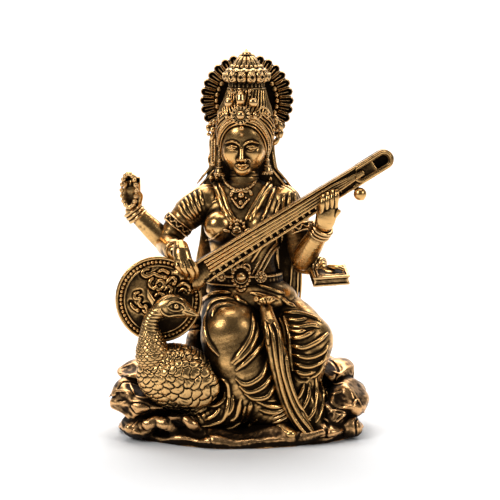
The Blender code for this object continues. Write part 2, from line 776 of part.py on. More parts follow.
def combine(target, tool, operation):
    """Joins or cuts target with the tool object, keeps the result and drops the tool."""
    modifier = target.modifiers.new("combine", "BOOLEAN")
    modifier.operation = operation
    modifier.solver = "EXACT"
    modifier.object = tool
    graph = bpy.context.evaluated_depsgraph_get()
    result = bpy.data.meshes.new_from_object(target.evaluated_get(graph))
    target.modifiers.remove(modifier)
    spent = target.data
    target.data = result
    bpy.data.meshes.remove(spent)
    shape = tool.data
    bpy.data.objects.remove(tool)
    bpy.data.meshes.remove(shape)


def box_of(made):
    corners = [vertex.co for vertex in made.data.vertices]
    low = Vector([min(c[k] for c in corners) for k in range(3)])
    high = Vector([max(c[k] for c in corners) for k in range(3)])
    return low, high


def boxes_meet(first, second):
    (low_a, high_a), (low_b, high_b) = first, second
    return all(low_a[k] < high_b[k] and low_b[k] < high_a[k] for k in range(3))


def keep_largest_body(made):
    """Drops the crumbs that cutting can leave behind."""
    bm = bmesh.new()
    bm.from_mesh(made.data)
    unseen, islands = set(bm.verts), []
    while unseen:
        front = [unseen.pop()]
        island = set(front)
        while front:
            for edge in front.pop().link_edges:
                for vertex in edge.verts:
                    if vertex in unseen:
                        unseen.discard(vertex)
                        island.add(vertex)
                        front.append(vertex)
        islands.append(island)
    islands.sort(key=len)
    crumbs = [vertex for island in islands[:-1] for vertex in island]
    bmesh.ops.delete(bm, geom=crumbs, context="VERTS")
    bm.to_mesh(made.data)
    bm.free()


def brass(name, colour, roughness):
    material = bpy.data.materials.new(name)
    material.use_nodes = True
    shader = material.node_tree.nodes["Principled BSDF"]
    shader.inputs["Base Color"].default_value = (*colour, 1)
    shader.inputs["Metallic"].default_value = 1.0
    shader.inputs["Roughness"].default_value = roughness
    return material


def clear_scene():
    for old in list(bpy.data.objects):
        bpy.data.objects.remove(old)


def stand_on_origin(castings_made):
    """Moves everything so that the origin is under the middle of the statuette's box."""
    boxes = [box_of(made) for made in castings_made]
    low = [min(box[0][k] for box in boxes) for k in range(3)]
    high = [max(box[1][k] for box in boxes) for k in range(3)]
    shift = Vector((-(low[0] + high[0]) / 2, -(low[1] + high[1]) / 2, -low[2]))
    for made in castings_made:
        made.data.transform(Matrix.Translation(shift))


def main():
    clear_scene()
    materials = {name: brass(name, *look) for name, look in MATERIALS.items()}
    placed = []
    finished = []
    for name, finish, shapes in castings():
        made = object_of(name, shapes[0](0))
        for shape in shapes[1:]:
            combine(made, object_of("joined", shape(0)), "UNION")
        for other in placed:
            for shape in other:
                cutter = object_of("seat", shape(CLEARANCE))
                if boxes_meet(box_of(made), box_of(cutter)):
                    combine(made, cutter, "DIFFERENCE")
                else:
                    bpy.data.objects.remove(cutter)
        keep_largest_body(made)
        placed.append(shapes)
        finished.append(made)
        made.data.transform(Matrix.Scale(MM, 4))
        made.data.materials.clear()
        made.data.materials.append(materials[finish])
        made.data.shade_smooth()
        made.data.set_sharp_from_angle(angle=math.radians(50))
    stand_on_origin(finished)


main()
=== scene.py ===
"""Looks of the cast-brass statuette: a crowned figure that plays a long-necked lute beside a bird.

Each casting is sculpted as a signed distance field (negative inside, millimetres, the CAD's own design
coordinates), meshed with a surface net and given an antique-brass material that is dark in the hollows,
partly with patina and partly with painted shade where nearby surfaces crowd close.
X runs to the viewer's right, Y away and Z up; "right" and "left" are the figure's own.
"""

import json
import math
import random

import bpy
import numpy as np
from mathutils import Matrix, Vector

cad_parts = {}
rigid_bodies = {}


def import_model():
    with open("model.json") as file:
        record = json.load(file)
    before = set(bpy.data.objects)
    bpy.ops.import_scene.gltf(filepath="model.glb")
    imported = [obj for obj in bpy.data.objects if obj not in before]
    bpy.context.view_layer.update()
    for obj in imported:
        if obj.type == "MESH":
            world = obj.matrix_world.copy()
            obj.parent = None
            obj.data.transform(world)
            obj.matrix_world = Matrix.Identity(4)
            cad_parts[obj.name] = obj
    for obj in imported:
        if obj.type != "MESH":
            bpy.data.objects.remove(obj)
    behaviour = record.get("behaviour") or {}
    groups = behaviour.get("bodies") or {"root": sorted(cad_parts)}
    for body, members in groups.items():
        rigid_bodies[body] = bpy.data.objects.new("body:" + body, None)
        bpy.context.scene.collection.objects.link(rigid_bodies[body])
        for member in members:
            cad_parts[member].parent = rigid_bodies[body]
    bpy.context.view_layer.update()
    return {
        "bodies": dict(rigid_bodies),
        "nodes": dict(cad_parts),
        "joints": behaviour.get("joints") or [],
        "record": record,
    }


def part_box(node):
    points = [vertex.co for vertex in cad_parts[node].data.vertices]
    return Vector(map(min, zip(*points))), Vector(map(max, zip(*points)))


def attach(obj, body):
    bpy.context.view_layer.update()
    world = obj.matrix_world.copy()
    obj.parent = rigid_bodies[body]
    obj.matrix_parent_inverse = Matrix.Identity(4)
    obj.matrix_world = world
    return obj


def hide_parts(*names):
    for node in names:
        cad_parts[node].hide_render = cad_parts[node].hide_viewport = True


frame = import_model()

REAL = np.float32
MM = 0.001
EMPTY = 5.0

# Where the design coordinates sit in the row frame: the crown's finial is turned about this axis.
CROWN_AXIS = (-0.9, 3.0)
finial_low, finial_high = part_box("crown_finial")
SHIFT = np.array(
    [
        (finial_low.x + finial_high.x) / 2 / MM - CROWN_AXIS[0],
        (finial_low.y + finial_high.y) / 2 / MM - CROWN_AXIS[1],
        0.0,
    ]
)

# The camera, in design millimetres
VIEW_ELEVATION = math.radians(9.0)
VIEW_LENS = 120.0
VIEW_SENSOR = 36.0
VIEW_WIDTH = 101.8
VIEW_TARGET = np.array([-0.2, 0.0, 37.1])
VIEW_HEIGHT_OF_TARGET = 39.3
VIEW_BACK = np.array([0.0, -math.cos(VIEW_ELEVATION), math.sin(VIEW_ELEVATION)])
VIEW_UP = np.array([0.0, math.sin(VIEW_ELEVATION), math.cos(VIEW_ELEVATION)])
VIEW_DISTANCE = VIEW_WIDTH / VIEW_SENSOR * VIEW_LENS
VIEW_EYE = VIEW_TARGET + VIEW_BACK * VIEW_DISTANCE

# The figure's main points, as in the CAD
HEAD = (-1.4, 2.4, 58.8)
HALO = (-0.85, 8.9, 66.9)
HALO_RADIUS = 9.68
HALO_SCALLOPS = 30
LUTE_TAIL = (-9.4, -9.0, 34.4)
LUTE_TOP = (24.2, -7.2, 55.2)
LUTE_BOWL = (-18.5, -6.4, 28.2)
LUTE_BOWL_RADIUS = 8.65
RIGHT_ELBOW = (-17.2, 1.4, 38.4)
LEFT_ELBOW = (10.4, -1.2, 35.4)
RAISED_WRIST = (-24.1, 2.3, 44.9)
PLUCKING_WRIST = (-15.2, -6.2, 37.8)
FRETTING_WRIST = (14.2, -6.6, 42.6)
BOOK_WRIST = (14.0, -2.6, 33.9)
BIRD_BODY = (-14.6, -9.9, 13.0)

# Forearms: elbow, wrist, start from the elbow, radii
FOREARMS = {
    "plucking": (RIGHT_ELBOW, PLUCKING_WRIST, (0.2, -0.8, -0.3), (2.4, 2.2, 1.6)),
    "raised": (RIGHT_ELBOW, RAISED_WRIST, (-0.6, 0.6, 0.4), (2.3, 2.1, 1.6)),
    "fretting": (LEFT_ELBOW, FRETTING_WRIST, (0.2, -0.6, 0.2), (2.5, 2.3, 1.7)),
    "book": (LEFT_ELBOW, BOOK_WRIST, (0.2, 0.9, -0.8), (2.3, 2.1, 1.6)),
}

# Bangles: middle of the set, the way that the arm runs, radius
BANGLES = {
    "raised": (np.subtract(RAISED_WRIST, (-0.5, 0, 0.6)), (-0.6, 0, 0.8), 1.9),
    "fretting": (np.subtract(FRETTING_WRIST, (0.3, 0, 0.5)), (0.4, -0.5, 0.75), 2.0),
    "book": (np.subtract(BOOK_WRIST, (0.5, -0.4, -0.1)), (0.85, -0.5, -0.15), 1.8),
    "plucking": (np.add(PLUCKING_WRIST, (0, 0.9, 0)), (0.1, -1, 0), 1.9),
}

# Brass, by look: CAD slot, bare metal, patina (its dark colour also serves as painted shade), how much metal
# is bare, its roughness, noise seed
BRASSES = {
    "figure": ("figure_brass", (0.80, 0.48, 0.18), (0.020, 0.012, 0.006), 0.02, 0.20, 1),
    "skin": ("figure_brass", (0.82, 0.50, 0.19), (0.022, 0.013, 0.006), 0.10, 0.20, 6),
    "halo": ("ornament_brass", (0.80, 0.50, 0.21), (0.018, 0.011, 0.006), -0.20, 0.26, 7),
    "ornament": ("ornament_brass", (0.83, 0.53, 0.23), (0.020, 0.012, 0.006), -0.02, 0.22, 2),
    "lute": ("lute_brass", (0.80, 0.48, 0.18), (0.020, 0.012, 0.006), -0.04, 0.23, 3),
    "bird": ("bird_brass", (0.80, 0.50, 0.20), (0.022, 0.014, 0.007), -0.04, 0.24, 4),
    "rock": ("rock_brass", (0.78, 0.46, 0.20), (0.020, 0.012, 0.007), -0.10, 0.27, 5),
}
ROSY_TINT = (1.0, 0.86, 0.76)
PATINA_ROUGHNESS = 0.62
PIT_DEPTH = 0.00012

# What rubs the patina off: fine relief and broad form (per millimetre), openness, clouds and grit.
# Openness comes from ambient occlusion: it keeps patina in hollows and also paints shade where nearby
# surfaces, of this casting or others, crowd close.
FINE_WEIGHT = 10.0
BROAD_WEIGHT = 3.4
# Openness weight and reach: patina in hollows together with painted shade, from ambient occlusion
SHADE_AND_PATINA_WEIGHT = 1.1
SHADE_AND_PATINA_REACH = 0.0045
CLOUD_WEIGHT, CLOUD_SCALE = 1.1, 420.0
GRIT_WEIGHT, GRIT_SCALE = 0.35, 2600.0
BARE_LEVEL = -0.65

# Castings that stand for CAD nodes of other names
STANDS_FOR = {
    "diadem": ["forehead_medallion"],
    "crown": ["crown_tier", "crown_dome", "crown_finial"],
    "hair": ["hair", "crown_cone"],
}

# The pale sweep, and the lights as (name, place, target, size, watts)
FLOOR_COLOUR = (0.92, 0.92, 0.92)
FLOOR_REACH = 6000.0
WALL_START = 220.0
WALL_CURVE = 160.0
WALL_TOP = 900.0
WORLD_STRENGTH = 0.07
LIGHTS = [
    ("key", (-300, -230, 300), (0, 0, 35), (130, 170), 0.72),
    ("fill", (320, -200, 260), (0, 0, 35), (110, 170), 0.36),
    ("top", (0, 20, 420), (0, 0, 20), (300, 200), 0.5),
    ("floor wash", (0, 300, 420), (0, 260, 0), (700, 300), 3.2),
]


# ---- vectors and distance fields; P is an array of points, one row each ----


def vec(values):
    """Single-precision vector, as the fields use."""
    return np.array(values, REAL)


def length(v):
    return np.sqrt(np.einsum("ij,ij->i", v, v))


def unit(v):
    v = np.array(v, float)
    return v / np.linalg.norm(v)


def axes_towards(direction, up=(0, 0, 1)):
    """Columns x, y, z of a frame whose z points in the direction and whose y leans towards up."""
    z = unit(direction)
    y = np.array(up, float) - z * np.dot(up, z)
    if np.linalg.norm(y) < 1e-6:
        y = np.array([0, 1, 0]) - z * z[1]
    y = unit(y)
    return np.stack([np.cross(y, z), y, z], axis=1)


def turn(rx=0, ry=0, rz=0):
    """Rotation matrix for turns in degrees about X, then Y, then Z."""
    a, b, c = (math.radians(v) for v in (rx, ry, rz))
    about_x = np.array([[1, 0, 0], [0, math.cos(a), -math.sin(a)], [0, math.sin(a), math.cos(a)]])
    about_y = np.array([[math.cos(b), 0, math.sin(b)], [0, 1, 0], [-math.sin(b), 0, math.cos(b)]])
    about_z = np.array([[math.cos(c), -math.sin(c), 0], [math.sin(c), math.cos(c), 0], [0, 0, 1]])
    return about_z @ about_y @ about_x


def local(P, origin, axes):
    """Coordinates of the points in a frame given by its origin and axis columns."""
    return (P - vec(origin)) @ axes.astype(REAL)


def join(a, b, blend=0.3):
    """Smooth union."""
    h = np.clip(0.5 + 0.5 * (b - a) / blend, 0, 1)
    return b + (a - b) * h - blend * h * (1 - h)


def carve(a, b, blend=0.2):
    """a with b taken away, the edge rounded."""
    return -join(-a, b, blend)


def keep(a, b, blend=0.2):
    """The part of a inside b."""
    return -join(-a, -b, blend)


def smooth_step(low, high, x):
    t = np.clip((x - low) / (high - low), 0, 1)
    return t * t * (3 - 2 * t)


def nothing(P):
    """A field without a solid, for ornaments to be added to."""
    return np.full(len(P), EMPTY, REAL)


def ball(P, centre, half, axes=None):
    """An ellipsoid; the distance is close near its surface."""
    q = P - vec(centre)
    if axes is not None:
        q = q @ axes.astype(REAL)
    half = vec(half)
    near = length(q / half)
    steep = length(q / (half * half))
    return near * (near - 1) / np.maximum(steep, 1e-6)


def spline(points, radii, steps=5):
    """A smooth curve through the points, with its radius at every step."""
    points = np.array(points, float)
    radii = np.array(radii, float) * np.ones(len(points))
    rows = np.column_stack([points, radii])
    padded = np.vstack([2 * rows[0] - rows[1], rows, 2 * rows[-1] - rows[-2]])
    out = []
    for i in range(1, len(padded) - 2):
        a, b, c, d = padded[i - 1 : i + 3]
        for k in range(steps):
            t = k / steps
            square = (2 * a - 5 * b + 4 * c - d) * t**2
            cube = (3 * b - a - 3 * c + d) * t**3
            out.append(0.5 * (2 * b + (c - a) * t + square + cube))
    out.append(padded[-2])
    out = np.array(out)
    return out[:, :-1], np.maximum(out[:, -1], 0.01)


def chain(P, points, radii):
    """Distance to a chain of tapered capsules."""
    points, radii = vec(points), vec(radii)
    best = np.full(len(P), 1e3, REAL)
    for a, b, ra, rb in zip(points, points[1:], radii, radii[1:]):
        along = b - a
        size = float(along @ along)
        if size < 1e-10:
            continue
        q = P - a
        t = np.clip(q @ along / size, 0, 1)
        np.minimum(best, length(q - t[:, None] * along) - (ra + (rb - ra) * t), out=best)
    return best


def limb(P, points, radii, flat=1.0, across=None, steps=5):
    """A smooth limb; flat thins it along the direction across."""
    points, radii = spline(points, radii, steps)
    if flat != 1.0:
        n = vec(unit(across))
        stretch = 1 / flat - 1
        P = P + np.outer(P @ n, n) * REAL(stretch)
        points = points + np.outer(points @ unit(across), unit(across)) * stretch
        return chain(P, points, radii) * REAL(0.5 + 0.5 * flat)
    return chain(P, points, radii)


def loft(P, sections):
    """A lofted column of level ellipses, each (x, y, z, half width, half depth), from the bottom up."""
    rows, _ = spline(sections, 1.0, 5)
    z = P[:, 2]
    x, y, wide, deep = (np.interp(z, rows[:, 2], rows[:, k]).astype(REAL) for k in (0, 1, 3, 4))
    dx, dy = P[:, 0] - x, P[:, 1] - y
    near = np.hypot(dx / wide, dy / deep)
    steep = np.hypot(dx / wide**2, dy / deep**2)
    side = near * (near - 1) / np.maximum(steep, 1e-6)
    ends = np.maximum(rows[0, 2] - z, z - rows[-1, 2])
    return keep(side, ends, 0.8)


def lathe(P, profile, centre, axes, squash=1.0):
    """A turned solid: distance to the closed outline of (radius, height) pairs, swung about the z axis."""
    q = local(P, centre, axes)
    r = np.hypot(q[:, 0], q[:, 1] / squash)
    h = q[:, 2]
    outline = [(0.0, profile[0][1])] + [tuple(p) for p in profile] + [(0.0, profile[-1][1])]
    return outline_distance(r, h, outline)


def outline_distance(x, y, outline):
    """Signed distance in the plane to a closed outline."""
    best = np.full(len(x), 1e6, REAL)
    inside = np.zeros(len(x), bool)
    count = len(outline)
    for i in range(count):
        (ax, ay), (bx, by) = outline[i], outline[(i + 1) % count]
        ex, ey = bx - ax, by - ay
        size = ex * ex + ey * ey
        if size < 1e-12:
            continue
        qx, qy = x - ax, y - ay
        t = np.clip((qx * ex + qy * ey) / size, 0, 1)
        np.minimum(best, (qx - t * ex) ** 2 + (qy - t * ey) ** 2, out=best)
        if ay != by:
            crossing = (ay > y) != (by > y)
            inside ^= crossing & (x < ax + (y - ay) * ex / ey)
    return np.where(inside, -1, 1).astype(REAL) * np.sqrt(best)


def slab(P, centre, half, axes, rounding=0.2):
    """A box with rounded edges."""
    q = np.abs(local(P, centre, axes)) - (vec(half) - REAL(rounding))
    outside = length(np.maximum(q, 0))
    return outside + np.minimum(q.max(1), 0) - REAL(rounding)


def ring(P, centre, axes, radius, wire):
    """A round wire bent into a circle about the z axis."""
    q = local(P, centre, axes)
    return np.hypot(np.hypot(q[:, 0], q[:, 1]) - radius, q[:, 2]) - wire


def stone(P, centre, half, seed, facets=22):
    """A chiselled rock: a hull of seeded planes with softened edges."""
    draw = random.Random(seed)
    q = (P - vec(centre)) / vec(half)
    d = None
    for _ in range(facets):
        n = unit([draw.gauss(0, 1) for _ in range(3)])
        plane = q @ vec(n) - REAL(draw.uniform(0.72, 0.98))
        d = plane if d is None else keep(d, plane, 0.05)
    return d * REAL(min(half))


def waves(P, size, seed, count=7):
    """A smooth pseudo-random field between about -1 and 1, with features of the given size."""
    draw = random.Random(seed)
    total = np.zeros(len(P), REAL)
    for _ in range(count):
        n = vec(unit([draw.gauss(0, 1) for _ in range(3)]))
        n = n * REAL(2 * math.pi / size * draw.uniform(0.7, 1.4))
        total += np.sin(P @ n + REAL(draw.uniform(0, 2 * math.pi)))
    return total / REAL(math.sqrt(count))


# ---- strokes: ridges and grooves drawn in the front view and laid on a surface ----


def sight(u, v):
    """Directions from the eye through the view plane: u to the right, v up from the base's front edge."""
    u, v = np.asarray(u, float), np.asarray(v, float)
    through = (
        VIEW_TARGET
        + (u - VIEW_TARGET[0])[:, None] * np.array([1.0, 0, 0])
        + (v - VIEW_HEIGHT_OF_TARGET)[:, None] * VIEW_UP
    )
    rays = through - VIEW_EYE
    return rays / np.linalg.norm(rays, axis=1)[:, None]


def at(u, v, y):
    """The point seen at (u, v) that lies at depth y."""
    ray = sight([u], [v])[0]
    return tuple(VIEW_EYE + ray * (y - VIEW_EYE[1]) / ray[1])


def cast(field, starts, rays, reach, step=0.25):
    """First points where the rays meet the surface; rays that miss stop where they pass closest."""
    starts, rays = np.atleast_2d(starts), np.atleast_2d(rays)
    s = np.arange(0, reach, step)
    P = (starts[:, None, :] + rays[:, None, :] * s[None, :, None]).reshape(-1, 3).astype(REAL)
    d = field(P).reshape(len(rays), len(s))
    hit = d < 0
    first = np.where(hit.any(1), hit.argmax(1), d.argmin(1))
    low, high = s[np.maximum(first - 1, 0)], s[first]
    for _ in range(6):
        middle = (low + high) / 2
        inside = field((starts + rays * middle[:, None]).astype(REAL)) < 0
        high = np.where(inside, middle, high)
        low = np.where(inside, low, middle)
    return starts + rays * high[:, None]


def lay(field, drawn):
    """Lays a curve of (u, v) points on the front of a surface."""
    drawn = np.array(drawn, float)
    rays = sight(drawn[:, 0], drawn[:, 1])
    near = (-26.0 - VIEW_EYE[1]) / rays[:, 1]
    return cast(field, VIEW_EYE + rays * near[:, None], rays, 48.0)


def stroke(field, drawn, radius=0.35, sink=0.0, taper=0.5, steps=5):
    """A curve drawn in the front view, laid on the surface and sunk into it; its ends taper."""
    curve, _ = spline(drawn, 1.0, steps)
    points = lay(field, curve)
    depth = points[:, 1].copy()
    for _ in range(2):
        depth[1:-1] = (depth[:-2] + depth[1:-1] * 2 + depth[2:]) / 4
    points[:, 1] = depth + sink
    t = np.linspace(0, 1, len(points))
    ends = np.minimum(1, np.minimum(t, 1 - t) / 0.18)
    return points, radius * (taper + (1 - taper) * ends)


def add(P, d, strokes, blend=0.25, dig=False):
    """Raises (or digs) a list of (points, radii) strokes on the field values d."""
    for points, radii in strokes:
        reach = float(np.max(radii)) + blend * 1.5
        low, high = points.min(0) - reach, points.max(0) + reach
        near = np.flatnonzero(((P > vec(low)) & (P < vec(high))).all(1))
        if len(near) == 0:
            continue
        tube = chain(P[near], points, radii)
        d[near] = carve(d[near], tube, blend) if dig else join(d[near], tube, blend)
    return d


def beads(P, d, centres, radius, blend=0.06):
    """Adds round beads."""
    for centre in centres:
        c = vec(centre)
        near = np.flatnonzero((np.abs(P - c) < radius + 2 * blend + 0.05).all(1))
        if len(near):
            d[near] = join(d[near], length(P[near] - c) - REAL(radius), blend)
    return d


def along(points, pitch):
    """Points at an even pitch along a polyline."""
    points = np.array(points, float)
    legs = np.linalg.norm(np.diff(points, axis=0), axis=1)
    run = np.concatenate([[0], np.cumsum(legs)])
    stops = np.linspace(0, run[-1], max(2, int(round(run[-1] / pitch)) + 1))
    return np.column_stack([np.interp(stops, run, points[:, k]) for k in range(3)])


# ---- from a field to a mesh ----

CORNERS = [(i, j, k) for i in (0, 1) for j in (0, 1) for k in (0, 1)]
CELL_EDGES = [
    (a, b) for a in CORNERS for b in CORNERS if a < b and sum(abs(x - y) for x, y in zip(a, b)) == 1
]


def sample(field, low, high, step):
    """Field values on a grid: exact near the surface, and only the sign elsewhere."""
    block = 4
    size = [int(math.ceil((h - l) / (step * block))) for l, h in zip(low, high)]
    axes = [l + step * block * (np.arange(n) + 0.5) - step / 2 for l, n in zip(low, size)]
    centres = np.stack(np.meshgrid(*axes, indexing="ij"), axis=-1).reshape(-1, 3).astype(REAL)
    coarse = field(centres)
    near = np.abs(coarse) < step * block * 1.9
    sign = np.where(coarse < 0, -9.0, 9.0).astype(REAL).reshape(size)
    grid = np.repeat(np.repeat(np.repeat(sign, block, 0), block, 1), block, 2)
    cells = np.stack(np.unravel_index(np.flatnonzero(near), size), axis=1)
    offsets = np.stack(np.meshgrid(*[np.arange(block)] * 3, indexing="ij"), axis=-1).reshape(-1, 3)
    nodes = (cells[:, None, :] * block + offsets[None]).reshape(-1, 3)
    for part in np.array_split(np.arange(len(nodes)), max(1, len(nodes) // 400000)):
        ijk = nodes[part]
        grid[ijk[:, 0], ijk[:, 1], ijk[:, 2]] = field((np.array(low) + ijk * step).astype(REAL))
    return grid


def surface_net(grid, low, step):
    """One vertex in every cell that the surface crosses, one quad for every grid edge that it crosses."""
    inside = grid < 0
    total = np.zeros([n - 1 for n in grid.shape], np.int8)
    for i, j, k in CORNERS:
        total += inside[i : grid.shape[0] - 1 + i, j : grid.shape[1] - 1 + j, k : grid.shape[2] - 1 + k]
    cells = np.argwhere((total > 0) & (total < 8))
    number = np.full(total.shape, -1, np.int64)
    number[tuple(cells.T)] = np.arange(len(cells))
    place = np.zeros((len(cells), 3))
    count = np.zeros(len(cells))
    for a, b in CELL_EDGES:
        fa = grid[cells[:, 0] + a[0], cells[:, 1] + a[1], cells[:, 2] + a[2]].astype(float)
        fb = grid[cells[:, 0] + b[0], cells[:, 1] + b[1], cells[:, 2] + b[2]].astype(float)
        cross = (fa < 0) != (fb < 0)
        t = np.where(cross, fa / np.where(cross, fa - fb, 1), 0)
        place += np.where(cross[:, None], np.array(a) + np.outer(t, np.subtract(b, a)), 0)
        count += cross
    vertices = np.array(low) + step * (cells + place / count[:, None])
    quads = []
    for axis in range(3):
        first, second = (axis + 1) % 3, (axis + 2) % 3
        here = [slice(1, -1)] * 3
        there = [slice(1, -1)] * 3
        here[axis] = slice(0, -1)
        there[axis] = slice(1, None)
        starts, ends = inside[tuple(here)], inside[tuple(there)]
        edges = np.argwhere(starts != ends)
        rising = starts[tuple(edges.T)]
        edges = edges + 1
        edges[:, axis] -= 1
        corners = []
        for da, db in ((1, 1), (0, 1), (0, 0), (1, 0)):
            cell = edges.copy()
            cell[:, first] -= da
            cell[:, second] -= db
            corners.append(number[tuple(cell.T)])
        quad = np.stack(corners, axis=1)
        quad[~rising] = quad[~rising][:, ::-1]
        quads.append(quad)
    return vertices, np.concatenate(quads)


def edges_of(quads):
    pairs = np.concatenate([quads[:, [i, (i + 1) % 4]] for i in range(4)])
    pairs.sort(axis=1)
    return np.unique(pairs, axis=0)


def relax(vertices, edges, rounds):
    """Positions after averaging each vertex with its neighbours a number of times."""
    count = len(vertices)
    ends = np.concatenate([edges[:, 0], edges[:, 1]])
    others = np.concatenate([edges[:, 1], edges[:, 0]])
    degree = np.maximum(np.bincount(ends, minlength=count), 1)
    moved = vertices.copy()
    for _ in range(rounds):
        means = np.stack([np.bincount(ends, moved[others, k], count) for k in range(3)], axis=1)
        moved = 0.5 * moved + 0.5 * means / degree[:, None]
    return moved


def normals_of(vertices, quads):
    a, b, c, d = (vertices[quads[:, i]] for i in range(4))
    faces = np.cross(c - a, d - b)
    total = np.zeros_like(vertices)
    for i in range(4):
        for k in range(3):
            total[:, k] += np.bincount(quads[:, i], faces[:, k], len(vertices))
    return total / np.maximum(np.linalg.norm(total, axis=1), 1e-12)[:, None]


def relief_of(vertices, quads, step):
    """How far each vertex stands out of its surroundings, fine detail and broad form, in millimetres."""
    edges = edges_of(quads)
    normals = normals_of(vertices, quads)
    fine = relax(vertices, edges, max(3, int(round((0.28 / step) ** 2 * 3))))
    broad = relax(fine, edges, max(8, int(round((0.7 / step) ** 2))))
    stand_fine = np.einsum("ij,ij->i", vertices - fine, normals)
    stand_broad = np.einsum("ij,ij->i", vertices - broad, normals)
    return stand_fine, stand_broad


def node_box(nodes, margin):
    """The box of some CAD nodes in design millimetres, widened by a margin."""
    boxes = [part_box(node) for node in nodes]
    low = np.min([np.array(b[0]) for b in boxes], axis=0) / MM - SHIFT - margin
    high = np.max([np.array(b[1]) for b in boxes], axis=0) / MM - SHIFT + margin
    return low, high


def casting(name, nodes, slot_name, material, field, step, margin=1.0):
    """Meshes a field, attaches it to the root body and hides the CAD nodes that it stands for."""
    low, high = node_box(nodes, margin)
    vertices, quads = surface_net(sample(field, low, high, step), low, step)
    stand_fine, stand_broad = relief_of(vertices, quads, step)
    mesh = bpy.data.meshes.new(name)
    mesh.vertices.add(len(vertices))
    mesh.vertices.foreach_set("co", ((vertices + SHIFT) * MM).astype(REAL).ravel())
    mesh.loops.add(len(quads) * 4)
    mesh.loops.foreach_set("vertex_index", quads.astype(np.int32).ravel())
    mesh.polygons.add(len(quads))
    mesh.polygons.foreach_set("loop_start", np.arange(0, len(quads) * 4, 4, dtype=np.int32))
    mesh.update(calc_edges=True)
    mesh.validate()
    mesh.shade_smooth()
    for label, values in (("fine", stand_fine), ("broad", stand_broad)):
        attribute = mesh.attributes.new(label, "FLOAT", "POINT")
        attribute.data.foreach_set("value", values.astype(REAL))
    mesh.materials.append(material)
    piece = bpy.data.objects.new(name, mesh)
    bpy.context.scene.collection.objects.link(piece)
    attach(piece, "root")
    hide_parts(*nodes)
    print(f"{name}: {len(quads) * 2} triangles")
    return piece


# ---- antique brass ----


